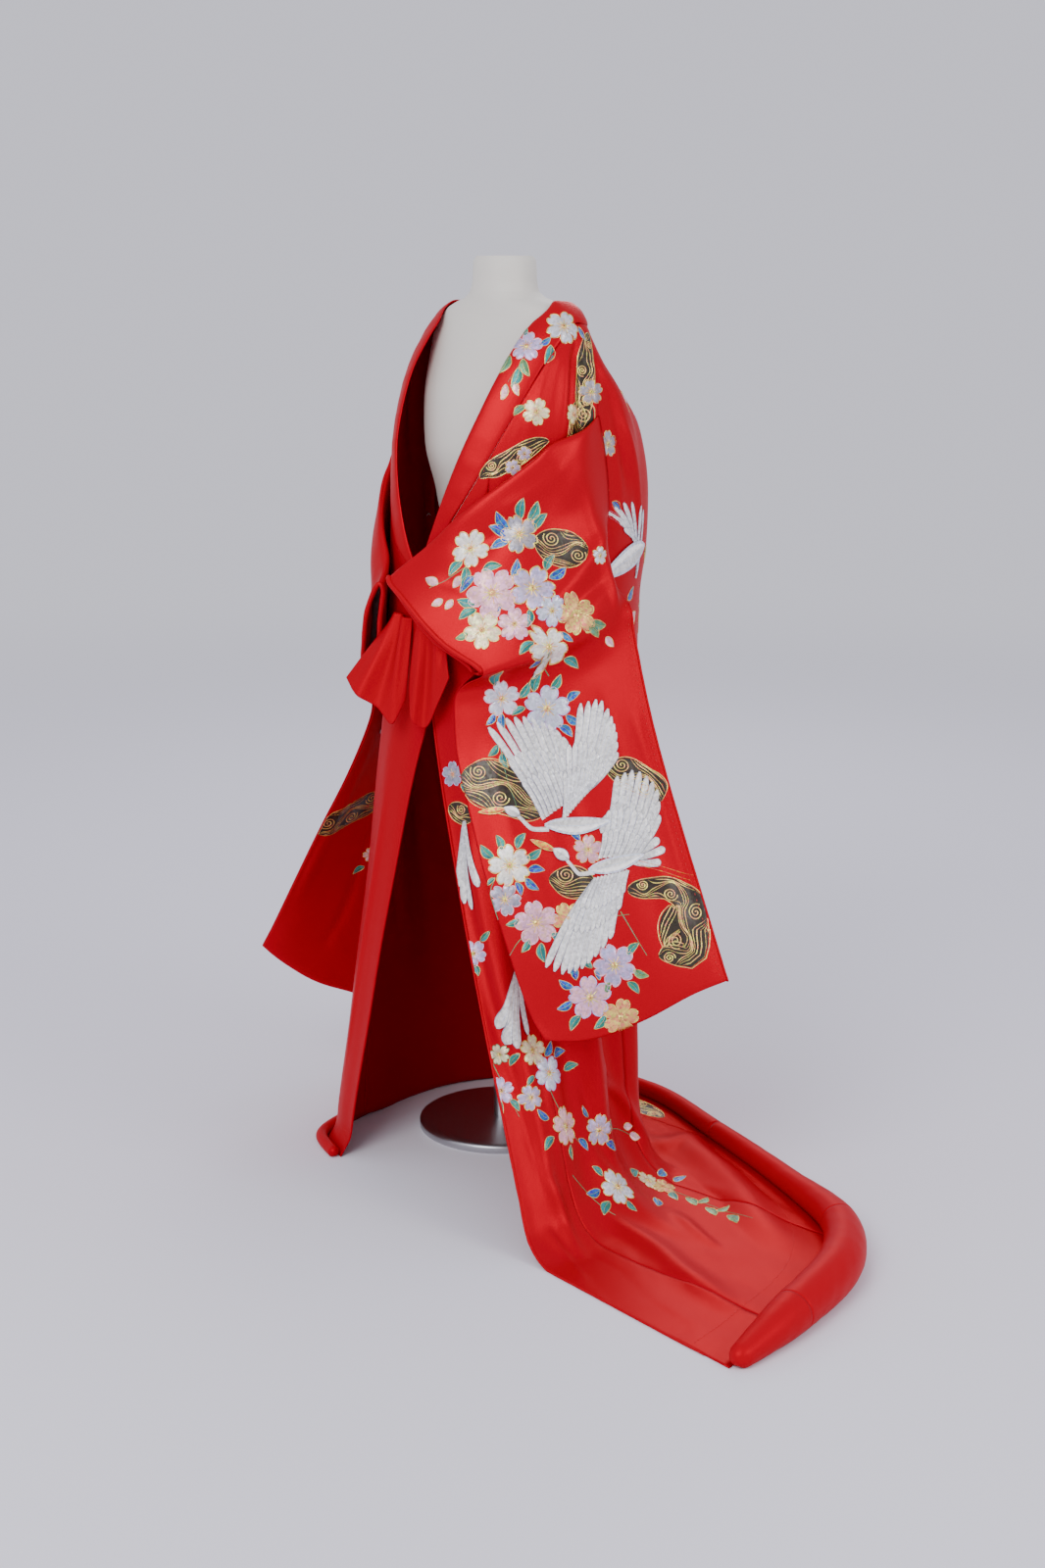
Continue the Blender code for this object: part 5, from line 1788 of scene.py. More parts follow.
LEAVES = (
    # cloth, then stalk x, stalk y, tip x, tip y and thread of each
    ("body", (
        (537, 344, 528, 326, "TEAL"), (550, 352, 562, 344, "BLUE"), (520, 362, 508, 384, "GREEN"),
        (533, 366, 540, 384, "GREEN"), (530, 375, 520, 398, "TEAL"), (536, 414, 524, 424, "GREEN"),
        (562, 352, 556, 372, "TEAL"), (590, 333, 598, 348, "BLUE"), (516, 392, 511, 408, "PINK"),
        (526, 392, 529, 404, "PINK"), (604, 478, 586, 492, "BLUE"), (602, 492, 584, 504, "TEAL"),
        (624, 512, 634, 528, "BLUE"),
    )),
    ("left", (
        (518, 548, 496, 536, "BLUE"), (519, 541, 506, 522, "BLUE"), (520, 552, 500, 560, "BLUE"),
        (531, 530, 534, 508, "TEAL"), (539, 532, 550, 508, "TEAL"), (545, 540, 558, 524, "TEAL"),
        (472, 572, 458, 588, "TEAL"), (476, 578, 471, 600, "TEAL"), (484, 588, 468, 606, "BLUE"),
        (488, 615, 466, 612, "TEAL"), (486, 622, 468, 632, "TEAL"), (492, 582, 512, 577, "TEAL"),
        (560, 590, 578, 578, "BLUE"), (556, 582, 566, 565, "TEAL"), (522, 588, 528, 570, "BLUE"),
        (540, 622, 538, 640, "TEAL"), (545, 655, 530, 668, "TEAL"), (552, 672, 540, 682, "BLUE"),
        (572, 645, 585, 655, "BLUE"), (600, 640, 612, 652, "GREEN"), (604, 634, 622, 640, "GREEN"),
        (575, 672, 590, 682, "TEAL"), (500, 625, 512, 618, "BLUE"), (478, 645, 464, 652, "GREEN"),
    )),
    ("body", (
        (617, 600, 622, 622, "BLUE"), (612, 690, 620, 676, "BLUE"), (640, 612, 648, 594, "BLUE"),
        (630, 640, 640, 656, "GREEN"), (622, 636, 612, 650, "GREEN"),
    )),
    ("left", (
        (505, 700, 508, 684, "TEAL"), (530, 712, 540, 696, "TEAL"), (544, 706, 552, 686, "TEAL"),
        (562, 704, 572, 688, "TEAL"), (578, 716, 592, 706, "BLUE"), (577, 730, 594, 738, "BLUE"),
        (570, 740, 584, 752, "BLUE"), (536, 722, 522, 730, "TEAL"), (505, 728, 496, 740, "BLUE"),
        (512, 728, 514, 745, "BLUE"), (508, 760, 498, 772, "TEAL"), (512, 768, 518, 784, "TEAL"),
        (504, 876, 490, 862, "TEAL"), (512, 868, 506, 852, "TEAL"), (527, 866, 536, 850, "TEAL"),
        (537, 876, 552, 866, "TEAL"), (538, 888, 556, 888, "BLUE"), (536, 896, 550, 908, "BLUE"),
        (526, 900, 532, 914, "BLUE"), (505, 896, 494, 904, "TEAL"), (540, 958, 532, 972, "TEAL"),
        (552, 962, 556, 982, "TEAL"), (562, 952, 574, 964, "TEAL"), (592, 858, 580, 848, "BLUE"),
        (530, 938, 516, 944, "TEAL"), (608, 974, 595, 962, "BLUE"), (640, 975, 652, 962, "TEAL"),
        (646, 990, 662, 996, "GREEN"), (640, 1002, 652, 1014, "TEAL"), (622, 1002, 618, 1018, "GREEN"),
        (585, 1008, 570, 1000, "BLUE"), (588, 1000, 580, 984, "BLUE"), (584, 1022, 568, 1030, "BLUE"),
        (592, 1036, 582, 1052, "TEAL"), (618, 1036, 606, 1050, "TEAL"), (645, 1050, 652, 1062, "GREEN"),
        (604, 988, 596, 976, "TEAL"), (612, 1000, 606, 990, "BLUE"),
    )),
    ("body", (
        (470, 800, 478, 812, "TEAL"), (490, 960, 500, 950, "TEAL"), (478, 985, 488, 996, "TEAL"),
        (530, 1075, 520, 1088, "TEAL"), (565, 1078, 582, 1070, "BLUE"), (556, 1078, 562, 1062, "BLUE"),
        (575, 1092, 590, 1086, "TEAL"), (545, 1098, 538, 1108, "TEAL"), (520, 1122, 530, 1134, "TEAL"),
        (505, 1124, 510, 1138, "TEAL"), (560, 1142, 548, 1132, "BLUE"), (565, 1160, 556, 1174, "TEAL"),
        (590, 1162, 600, 1174, "BLUE"), (582, 1168, 584, 1184, "TEAL"), (600, 1140, 594, 1128, "BLUE"),
        (622, 1145, 634, 1140, "TEAL"), (618, 1165, 628, 1174, "BLUE"), (615, 1200, 604, 1190, "TEAL"),
        (612, 1214, 598, 1218, "BLUE"), (622, 1226, 616, 1240, "TEAL"), (646, 1200, 656, 1188, "TEAL"),
        (672, 1200, 676, 1188, "BLUE"), (688, 1206, 700, 1200, "BLUE"), (686, 1216, 694, 1230, "TEAL"),
        (668, 1222, 672, 1236, "BLUE"), (640, 1225, 650, 1236, "TEAL"), (700, 1222, 712, 1232, "GREEN"),
        (712, 1228, 722, 1222, "GREEN"), (720, 1232, 732, 1242, "GREEN"), (730, 1236, 744, 1230, "GREEN"),
        (742, 1240, 752, 1248, "GREEN"),
    )),
    ("right", (
        (372, 884, 360, 892, "TEAL"), (382, 862, 388, 850, "TEAL"),
    )),
)
BUDS = (
    # cloth, then stalk x, stalk y, tip x and tip y of each
    ("left", (
        (447, 596, 434, 590), (452, 612, 440, 618), (462, 612, 454, 622), (470, 588, 462, 600),
    )),
    ("body", (
        (635, 640, 632, 624), (642, 640, 648, 624), (636, 1150, 645, 1149), (642, 1158, 653, 1161),
    )),
    ("left", (
        (618, 650, 626, 660),
    )),
    ("body", (
        (516, 395, 513, 408), (524, 390, 528, 402),
    )),
)
TWIGS = (
    # cloth, path of x and y
    ("body", ((540, 360), (528, 375), (518, 390))),
    ("body", ((612, 640), (625, 655), (637, 678))),
    ("left", ((480, 575), (458, 590), (438, 600))),
    ("left", ((510, 757), (516, 790), (527, 823))),
    ("left", ((540, 950), (528, 962), (520, 975))),
    ("left", ((633, 930), (646, 952), (660, 975))),
    ("left", ((607, 930), (622, 935), (642, 933))),
    ("left", ((505, 895), (500, 915), (498, 940))),
    ("body", ((584, 1199), (600, 1218), (628, 1240))),
    ("body", ((685, 1214), (725, 1230), (768, 1243))),
    ("body", ((560, 1110), (572, 1135), (590, 1165))),
    ("body", ((500, 1085), (515, 1110), (530, 1140))),
    ("body", ((611, 1153), (630, 1152), (649, 1161))),
    ("left", ((560, 690), (556, 672), (560, 660))),
)
STREAMS = (
    # cloth, path of x, y and half width in mm
    ("body", ((490, 488, 8), (508, 476, 15), (530, 464, 15), (560, 450, 8))),
    ("body", ((588, 408, 21), (592, 450, 30), (585, 500, 30), (572, 545, 27), (560, 590, 18))),
    ("left", ((545, 552, 21), (575, 560, 30), (600, 560, 21))),
    ("left", ((466, 792, 24), (500, 800, 40), (535, 812, 39), (563, 822, 30))),
    ("left", ((617, 782, 14), (645, 790, 26), (668, 806, 24), (674, 818, 12))),
    ("left", ((560, 896, 14), (585, 900, 26), (607, 902, 21))),
    ("left", ((640, 908, 14), (680, 906, 18), (702, 922, 27), (698, 948, 42), (700, 968, 33),
              (672, 976, 12))),
    ("body", ((458, 822, 12), (470, 830, 16), (482, 836, 12))),
    ("right", ((322, 850, 14), (345, 838, 26), (372, 822, 26), (392, 812, 15))),
    ("body", ((600, 340, 8), (598, 372, 15), (596, 402, 15), (592, 438, 9))),
)
CRANES = (
    Crane(
        cloth="left",
        wings=(
            (((555, 836), (588, 812),), ((498, 741), (518, 731), (538, 730), (558, 737), (574, 752),), 10),
            (((575, 836), (600, 806),), ((592, 716), (609, 712), (622, 727), (628, 745), (630, 768),), 10),
        ),
        body=((556, 842), (585, 850), (622, 838),),
        neck=((560, 846), (544, 846), (530, 834), (522, 829),),
        head=((530, 832), (514, 824),),
        beak=((516, 826), (488, 829),),
        tail=(((610, 842), (640, 812),), ((612, 845), (645, 825),), ((612, 848), (640, 840),),),
        legs=(),
    ),
    Crane(
        cloth="left",
        wings=(
            (((612, 876), (650, 872),), ((630, 792), (645, 786), (660, 792), (671, 806), (673, 832),), 9),
            (((608, 896), (640, 888),), ((557, 987), (575, 994), (590, 990), (605, 978), (622, 958),), 10),
        ),
        body=((600, 888), (625, 882), (656, 872),),
        neck=((606, 890), (592, 892), (582, 882), (574, 872),),
        head=((580, 877), (564, 866),),
        beak=((566, 868), (541, 857),),
        tail=(((648, 872), (672, 856),), ((648, 876), (678, 866),), ((646, 880), (674, 880),),),
        legs=(((650, 878), (707, 893),), ((650, 882), (704, 898),),),
    ),
    Crane(
        cloth="body",
        wings=(
            (((652, 560), (648, 590),), ((618, 522), (640, 512), (656, 520),), 6),
        ),
        body=((656, 556), (640, 572), (612, 590),),
        neck=(),
        head=(),
        beak=(),
        tail=(((625, 580), (604, 592),),),
        legs=(),
    ),
)
PLUMES = (
    # cloth, root, tips
    ("body", (474, 838), ((466, 905), (474, 922), (482, 928), (488, 905))),
    ("body", (528, 985), ((508, 1050), (518, 1066), (528, 1070), (538, 1056))),
    ("right", (398, 728), ((388, 748), (392, 756))),
)

SPRAY_THREADS = (
    # x, y and radius as shares of the spray's size, petal, rim
    (0.0, 0.0, 0.42, Thread.PEARL, Thread.GOLD),
    (0.78, 0.20, 0.36, Thread.LILAC, Thread.PINK),
    (-0.62, 0.45, 0.34, Thread.PINK, Thread.PINK),
    (-0.30, -0.72, 0.32, Thread.SILVER, Thread.LILAC),
    (0.48, -0.66, 0.30, Thread.AMBER, Thread.GOLD),
)
LONGEST_LEAF = 0.034
UNSEEN_SPRAYS = (
    # cloth, column, row, size in mm, turn; body columns count warp lines
    ("body", 4.3, 6.0, 62, 10), ("body", 5.2, 9.0, 70, 70), ("body", 6.2, 7.4, 64, 130),
    ("body", 4.6, 13.5, 72, 200), ("body", 5.7, 16.5, 78, 30), ("body", 6.6, 13.0, 66, 300),
    ("body", 4.4, 21.0, 80, 100), ("body", 5.2, 26.0, 84, 160), ("body", 6.3, 21.5, 76, 220),
    ("body", 7.3, 10.5, 58, 40), ("body", 7.8, 17.0, 64, 80), ("body", 6.9, 26.5, 70, 10),
    ("body", 8.7, 24.0, 58, 140),
    ("left", 3.6, 27.0, 60, 30), ("left", 7.8, 24.5, 66, 120), ("left", 6.2, 20.5, 62, 210),
    ("right", 8.2, 6.0, 60, 15), ("right", 5.0, 10.2, 66, 100), ("right", 3.4, 13.6, 62, 230),
    ("right", 8.8, 12.4, 60, 300),
)
UNSEEN_STREAMS = (
    # cloth, path of column, row and half width in metres
    ("body", ((5.25, 33.6, 0.012), (5.45, 33.0, 0.022), (5.65, 32.4, 0.022), (5.8, 31.6, 0.012))),
    ("body", ((4.0, 11.0, 0.012), (4.7, 11.4, 0.028), (5.5, 11.0, 0.030), (6.3, 11.8, 0.012))),
    ("body", ((4.1, 17.6, 0.012), (4.8, 18.2, 0.030), (5.6, 19.4, 0.032), (6.4, 18.6, 0.012))),
    ("body", ((4.8, 23.0, 0.012), (5.6, 23.6, 0.030), (6.4, 24.0, 0.028), (7.2, 23.2, 0.012))),
    ("left", ((2.4, 24.0, 0.010), (4.2, 23.4, 0.026), (6.4, 22.8, 0.028), (8.6, 22.0, 0.012))),
    ("right", ((2.4, 8.6, 0.010), (4.6, 8.2, 0.026), (7.0, 8.8, 0.028), (9.4, 9.4, 0.012))),
)


@dataclass
class PhotoView:
    """Finds the places on the cloths that lie behind places in the photo."""

    surfaces: dict[str, ClothSurface]

    def __post_init__(self) -> None:
        """Works out where every point of the cloths is seen."""
        self.eye = np.array(CAMERA_PLACE)
        self.ahead = np.array(CAMERA_FORWARD) / np.linalg.norm(CAMERA_FORWARD)
        self.right = np.cross(self.ahead, (0, 0, 1))
        self.right /= np.linalg.norm(self.right)
        self.above = np.cross(self.right, self.ahead)
        self.seen = {}
        for cloth, surface in self.surfaces.items():
            pixels, depth = self.project(surface.points)
            facing = (surface.normals * (surface.points - self.eye)).sum(axis=-1) < 0
            self.seen[cloth] = (pixels, np.where(facing, depth, 1e3))

    def project(self, points: Array) -> tuple[Array, Array]:
        """Where points are seen.

        Args:
            points: in world space.

        Returns:
            Their pixels in the photo and their depths.
        """
        away = points - self.eye
        depth = away @ self.ahead
        across, up = away @ self.right / depth, away @ self.above / depth
        return np.stack([PHOTO_CENTRE[0] + FOCAL * across, PHOTO_CENTRE[1] - FOCAL * up], axis=-1), depth

    def place(self, cloth: str, x: float, y: float) -> tuple[float, float]:
        """The column and row on a cloth that are seen at a pixel.

        Args:
            cloth: its name.
            x: pixels from the photo's left edge.
            y: pixels from its top.

        Returns:
            The column and row.
        """
        surface = self.surfaces[cloth]
        pixels, depth = self.seen[cloth]
        away = np.hypot(pixels[..., 0] - x, pixels[..., 1] - y) + (depth > 100) * 1e6
        near = away < away.min() + 3
        i, j = np.unravel_index(np.argmin(np.where(near, depth + away * 0.002, 1e9)), away.shape)
        found = np.array((i * surface.column_step, j * surface.row_step))
        step = 0.1
        for _ in range(6):
            here = self.project(surface.at(*found)[0])[0]
            by_column = self.project(surface.at(found[0] + step, found[1])[0])[0] - here
            by_row = self.project(surface.at(found[0], found[1] + step)[0])[0] - here
            move = np.linalg.pinv(np.stack([by_column, by_row], axis=1) / step) @ (np.array((x, y)) - here)
            found = found + np.clip(move, -0.4, 0.4) * 0.8
            found[0] = np.clip(found[0], 0, (len(surface.points) - 1) * surface.column_step)
        return float(found[0]), float(found[1])

    def places(self, cloth: str, path: tuple) -> tuple:
        """The same for each x and y of a path.

        Args:
            cloth: its name.
            path: places in the photo.

        Returns:
            Columns and rows.
        """
        return tuple(self.place(cloth, *point) for point in path)


def with_cloth(table: tuple) -> list[tuple]:
    """The rows of a motif table, each with its cloth in front."""
    return [(cloth, *row) for cloth, rows in table for row in rows]


@dataclass
class Design:
    """All the woven motifs of the robe."""

    surfaces: dict[str, ClothSurface]
    leaf_half: float = 0.23
    leaf_bend: float = 0.10
    bud_half: float = 0.30
    twig_width: float = 0.0020
    plume_half: float = 0.0060
    plume_lift: float = 0.0015
    tail_half: float = 0.0065
    tail_lift: float = 0.0008
    leg_width: float = 0.0016
    leg_lift: float = 0.0012
    wing_lift: float = 0.0006
    wing_step: float = 0.0008
    body_half: float = 0.12
    body_lift: float = 0.0022
    neck_width: float = 0.0085
    neck_lift: float = 0.0024
    head_half: float = 0.30
    beak_half: float = 0.12
    beak_lift: float = 0.0020

    def __post_init__(self) -> None:
        """Starts a brocade on each cloth."""
        self.photo = PhotoView(self.surfaces)
        self.brocades, self.behind = {}, {}
        for cloth, surface in self.surfaces.items():
            self.brocades[cloth] = Brocade(f"{cloth}_motifs", surface)
            self.behind[cloth] = Brocade(f"{cloth}_motifs_behind", surface)

    def crane(self, crane: Crane) -> None:
        """Lays one crane.

        Args:
            crane: its places in the photo.
        """
        brocade = self.brocades[crane.cloth]

        def at(path: tuple) -> tuple:
            """Columns and rows of a part's places."""
            return self.photo.places(crane.cloth, path)

        for feather in crane.tail:
            brocade.feather(*at(feather), self.tail_half, Thread.PEARL, self.tail_lift)
        for leg in crane.legs:
            brocade.twig(at(leg), self.leg_width, Thread.ORANGE, self.leg_lift)
        for number, (arm, tips, feathers) in enumerate(crane.wings):
            lift = self.wing_lift + self.wing_step * number
            brocade.wing(at(arm), at(tips), feathers, Thread.PEARL, lift)
        start, _, stop = at(crane.body)
        brocade.leaf(start, stop, self.body_half, Thread.PEARL, Thread.SILVER, 0.04, self.body_lift)
        if crane.neck:
            brocade.twig(at(crane.neck), self.neck_width, Thread.PEARL, self.neck_lift)
            brocade.leaf(*at(crane.head), self.head_half, Thread.PEARL, Thread.GREY, 0.0, self.body_lift)
            brocade.leaf(*at(crane.beak), self.beak_half, Thread.ORANGE, Thread.GOLD, 0.0, self.beak_lift)

    def seen_motifs(self) -> None:
        """Lays what the photo shows."""
        brocades, photo = self.brocades, self.photo
        for cloth, path in STREAMS:
            rows = [(*photo.place(cloth, x, y), half / 1000) for x, y, half in path]
            brocades[cloth].stream(tuple(rows))
        for cloth, path in TWIGS:
            brocades[cloth].twig(photo.places(cloth, path), self.twig_width, Thread.GREEN)
        for number, (cloth, x, y, tip_x, tip_y, thread) in enumerate(with_cloth(LEAVES)):
            start, stop = photo.places(cloth, ((x, y), (tip_x, tip_y)))
            share = min(1.0, LONGEST_LEAF / max(brocades[cloth].surface.aim(start, stop)[1], 0.001))
            stop = (start[0] + (stop[0] - start[0]) * share, start[1] + (stop[1] - start[1]) * share)
            bend = self.leaf_bend if number % 2 else -self.leaf_bend
            brocades[cloth].leaf(start, stop, self.leaf_half, Thread[thread], bend=bend)
        for cloth, x, y, tip_x, tip_y in with_cloth(BUDS):
            ends = photo.places(cloth, ((x, y), (tip_x, tip_y)))
            brocades[cloth].leaf(*ends, self.bud_half, Thread.PINK)
        for cloth, x, y, radius, turn, petal, rim in with_cloth(BLOSSOMS):
            place = photo.place(cloth, x, y)
            brocades[cloth].blossom(*place, radius / 1000, turn, Thread[petal], Thread[rim])
        for cloth, root, tips in PLUMES:
            for tip in tips:
                ends = photo.places(cloth, (root, tip))
                brocades[cloth].feather(*ends, self.plume_half, Thread.PEARL, self.plume_lift)
        for crane in CRANES:
            self.crane(crane)

    def spray(self, cloth: str, column: float, row: float, size: float, turn: float) -> None:
        """Lays a spray of blossoms and leaves on a side that the photo doesn't show.

        Args:
            cloth: its name.
            column: place of its middle.
            row: place of its middle.
            size: metres from its middle to its outer blossoms.
            turn: degrees.
        """
        brocade, surface = self.behind[cloth], self.surfaces[cloth]
        angle = math.radians(turn)
        cos, sin = math.cos(angle), math.sin(angle)
        for number, (x, y, share, petal, rim) in enumerate(SPRAY_THREADS):
            local = np.array((x * cos - y * sin, x * sin + y * cos))
            anchor = self.offset(surface, (column, row), local * size)
            for i in range(3):
                out = math.atan2(local[1], local[0]) + (i - 1) * 0.7 + 0.25 * number
                away = np.array((math.cos(out), math.sin(out))) * (size * share * 1.9)
                foot, tip = (self.offset(surface, anchor, away * part) for part in (0.42, 1))
                thread = (Thread.TEAL, Thread.BLUE, Thread.GREEN)[(i + number) % 3]
                brocade.leaf(foot, tip, self.leaf_half, thread, bend=self.leaf_bend)
            brocade.blossom(*anchor, size * share, turn + 31 * number, petal, rim)

    def offset(self, surface: ClothSurface, place: Place, away: Array) -> Place:
        """The place reached by going a way over a cloth.

        Args:
            surface: the cloth.
            place: column and row it starts from.
            away: metres across and up.

        Returns:
            The column and row reached.
        """
        _, across, up = surface.frames(np.array([place]))
        axes = np.stack([across[0], up[0]])
        move = np.linalg.pinv(axes @ np.stack(surface.slopes(*place), axis=1)) @ away
        return float(place[0] + move[0]), float(place[1] + move[1])

    def unseen_motifs(self) -> None:
        """Lays generic sprays and streams on the sides that face away."""
        for cloth, path in UNSEEN_STREAMS:
            self.behind[cloth].stream(path)
        for cloth, column, row, size, turn in UNSEEN_SPRAYS:
            self.spray(cloth, column, row, size / 1000, turn)

    def build(self, finishes: Finishes) -> None:
        """Makes the motifs' objects.

        Args:
            finishes: the materials by name.
        """
        self.seen_motifs()
        self.unseen_motifs()
        for brocade in (*self.brocades.values(), *self.behind.values()):
            brocade.build(finishes)


@dataclass(frozen=True)
class Finish:
    """One finish of the object: its colour and how it takes the light."""

    name: str
    colour: Colour
    roughness: float
    metallic: float = 0.0
    sheen: float = 0.0
    gloss: float = 0.5
    glint: Colour = (1.0, 1.0, 1.0)
    threads: float = 0.0
    grain: float = 0.0
    mapped: bool = True


RED_GLINT = (1.0, 0.13, 0.10)
RED_SILK = {"gloss": 0.08, "glint": RED_GLINT}
FINISHES = {
    "satin": Finish("vermilion satin", (0.48, 0.0, 0.012), 0.36, 0.35, threads=900, grain=0.00010,
                    **RED_SILK),
    "lining": Finish("plain silk lining", (0.36, 0.0, 0.008), 0.50, 0.10, threads=1300, grain=0.00006,
                     **RED_SILK),
    "roll": Finish("padded silk edge", (0.47, 0.0, 0.011), 0.42, 0.25, threads=1300, grain=0.00006,
                   **RED_SILK),
    "thread": Finish("red silk thread", (0.62, 0.010, 0.010), 0.35),
    "cover": Finish("ivory form cover", (0.70, 0.67, 0.60), 0.60, sheen=0.10, threads=1100, grain=0.00008,
                    mapped=False),
    "metal": Finish("satin steel", (0.50, 0.50, 0.52), 0.34, metallic=1.0),
}


@dataclass
class NodeBoard:
    """A node tree under work, its nodes kept under plain names."""

    tree: bpy.types.NodeTree
    nodes: dict[str, bpy.types.Node] = field(default_factory=dict)

    def add(self, name: str, kind: str, **settings: object) -> None:
        """Adds a node of a Blender type and sets its own properties."""
        self.nodes[name] = self.tree.nodes.new(kind)
        for setting, value in settings.items():
            setattr(self.nodes[name], setting, value)

    def socket(self, place: str, side: str) -> bpy.types.NodeSocket:
        """The socket that a text such as noise.Scale or mix.0 names."""
        node, name = place.split(".")
        return getattr(self.nodes[node], side)[int(name) if name.isdigit() else name]

    def values(self, table: dict[str, object]) -> None:
        """Sets inputs that no link feeds."""
        for place, value in table.items():
            self.socket(place, "inputs").default_value = value

    def link(self, *pairs: str) -> None:
        """Joins sockets, each pair written as one text."""
        for pair in pairs:
            source, target = pair.split(" > ")
            self.tree.links.new(self.socket(source, "outputs"), self.socket(target, "inputs"))


def new_group(name: str, kind: str, takes: dict[str, str], gives: dict[str, str]) -> NodeBoard:
    """Starts a node group.

    Args:
        name: of the group.
        kind: Shader or Geometry.
        takes: the type of each input.
        gives: the type of each output.

    Returns:
        Its board, with the nodes start and end.
    """
    board = NodeBoard(bpy.data.node_groups.new(name, f"{kind}NodeTree"))
    for side, sockets in (("INPUT", takes), ("OUTPUT", gives)):
        for label, type_name in sockets.items():
            board.tree.interface.new_socket(label, in_out=side, socket_type=f"NodeSocket{type_name}")
    board.add("start", "NodeGroupInput")
    board.add("end", "NodeGroupOutput")
    return board


def new_material(name: str) -> tuple[bpy.types.Material, NodeBoard]:
    """A material and its board, with the node shader.

    Args:
        name: the material's name.

    Returns:
        The material, and the board that holds its nodes.
    """
    material = bpy.data.materials.new(name)
    material.use_nodes = True
    board = NodeBoard(material.node_tree)
    board.nodes["shader"] = material.node_tree.nodes["Principled BSDF"]
    return material, board


def weave_group() -> bpy.types.NodeTree:
    """The threads of a cloth, as a height and a slight change of tone.

    Returns:
        The shader group.
    """
    takes = {"Place": "Vector", "Threads": "Float"}
    board = new_group("thread weave", "Shader", takes, {"Height": "Float", "Tone": "Float"})
    board.add("scale", "ShaderNodeVectorMath", operation="SCALE")
    board.add("across", "ShaderNodeTexWave", bands_direction="X")
    board.add("along", "ShaderNodeTexWave", bands_direction="Y")
    board.add("noise", "ShaderNodeTexNoise")
    board.add("mix", "ShaderNodeMath", operation="MULTIPLY_ADD")
    board.values({
        "across.Scale": 0.31, "across.Distortion": 0.6, "along.Scale": 0.08, "along.Distortion": 1.2,
        "noise.Scale": 0.02, "noise.Detail": 3.0, "mix.1": 0.5,
    })
    board.link(
        "start.Place > scale.0", "start.Threads > scale.Scale", "scale.0 > across.Vector",
        "scale.0 > along.Vector", "scale.0 > noise.Vector", "along.Fac > mix.0", "across.Fac > mix.2",
        "mix.0 > end.Height", "noise.Fac > end.Tone",
    )
    return board.tree


def cloth_material(finish: Finish, weave: bpy.types.NodeTree) -> bpy.types.Material:
    """A plain material from a finish.

    Args:
        finish: what it looks like.
        weave: the shared thread group.

    Returns:
        The material.
    """
    material, board = new_material(finish.name)
    board.values({
        "shader.Base Color": (*finish.colour, 1.0), "shader.Roughness": finish.roughness,
        "shader.Metallic": finish.metallic, "shader.Sheen Weight": finish.sheen,
        "shader.Specular IOR Level": finish.gloss, "shader.Specular Tint": (*finish.glint, 1.0),
    })
    if not finish.threads:
        return material
    if finish.mapped:
        board.add("place", "ShaderNodeUVMap", uv_map="cloth")
    else:
        board.add("place", "ShaderNodeTexCoord")
    board.add("threads", "ShaderNodeGroup", node_tree=weave)
    board.add("bump", "ShaderNodeBump")
    board.add("tone", "ShaderNodeMapRange")
    board.values({
        "threads.Threads": finish.threads, "bump.Distance": finish.grain, "bump.Strength": 0.5,
        "tone.To Min": finish.roughness - 0.05, "tone.To Max": finish.roughness + 0.05,
    })
    board.link(
        "place.UV > threads.Place" if finish.mapped else "place.Object > threads.Place",
        "threads.Height > bump.Height", "bump.Normal > shader.Normal", "threads.Tone > tone.Value",
        "tone.Result > shader.Roughness",
    )
    return material


def shimmer_group() -> bpy.types.NodeTree:
    """The changing colour of foil threads.

    Returns:
        The shader group.
    """
    gives = {"Colour": "Color", "Roughness": "Float"}
    board = new_group("foil shimmer", "Shader", {"Colour": "Color"}, gives)
    board.add("place", "ShaderNodeTexCoord")
    board.add("cells", "ShaderNodeTexVoronoi")
    board.add("hue", "ShaderNodeHueSaturation")
    board.add("parts", "ShaderNodeSeparateColor")
    board.values({"cells.Scale": 260})
    board.link("place.Object > cells.Vector", "cells.Color > parts.Color")
    for name, part, low, high in (
        ("turn", "Red", 0.44, 0.56), ("value", "Green", 0.80, 1.22), ("rough", "Blue", 0.26, 0.50),
    ):
        board.add(name, "ShaderNodeMapRange")
        board.values({f"{name}.To Min": low, f"{name}.To Max": high})
        board.link(f"parts.{part} > {name}.Value")
    board.link(
        "turn.Result > hue.Hue", "value.Result > hue.Value", "start.Colour > hue.Color",
        "hue.Color > end.Colour", "rough.Result > end.Roughness",
    )
    return board.tree


def brocade_material() -> bpy.types.Material:
    """The motifs' material, which takes its colour from each point.

    Returns:
        The material.
    """
    material, board = new_material("brocade threads")
    board.add("tint", "ShaderNodeAttribute", attribute_name="tint")
    board.add("metal", "ShaderNodeAttribute", attribute_name="metal")
    board.add("foil", "ShaderNodeGroup", node_tree=shimmer_group())
    board.link(
        "tint.Color > foil.Colour", "foil.Colour > shader.Base Color",
        "foil.Roughness > shader.Roughness", "metal.Fac > shader.Metallic",
    )
    return material


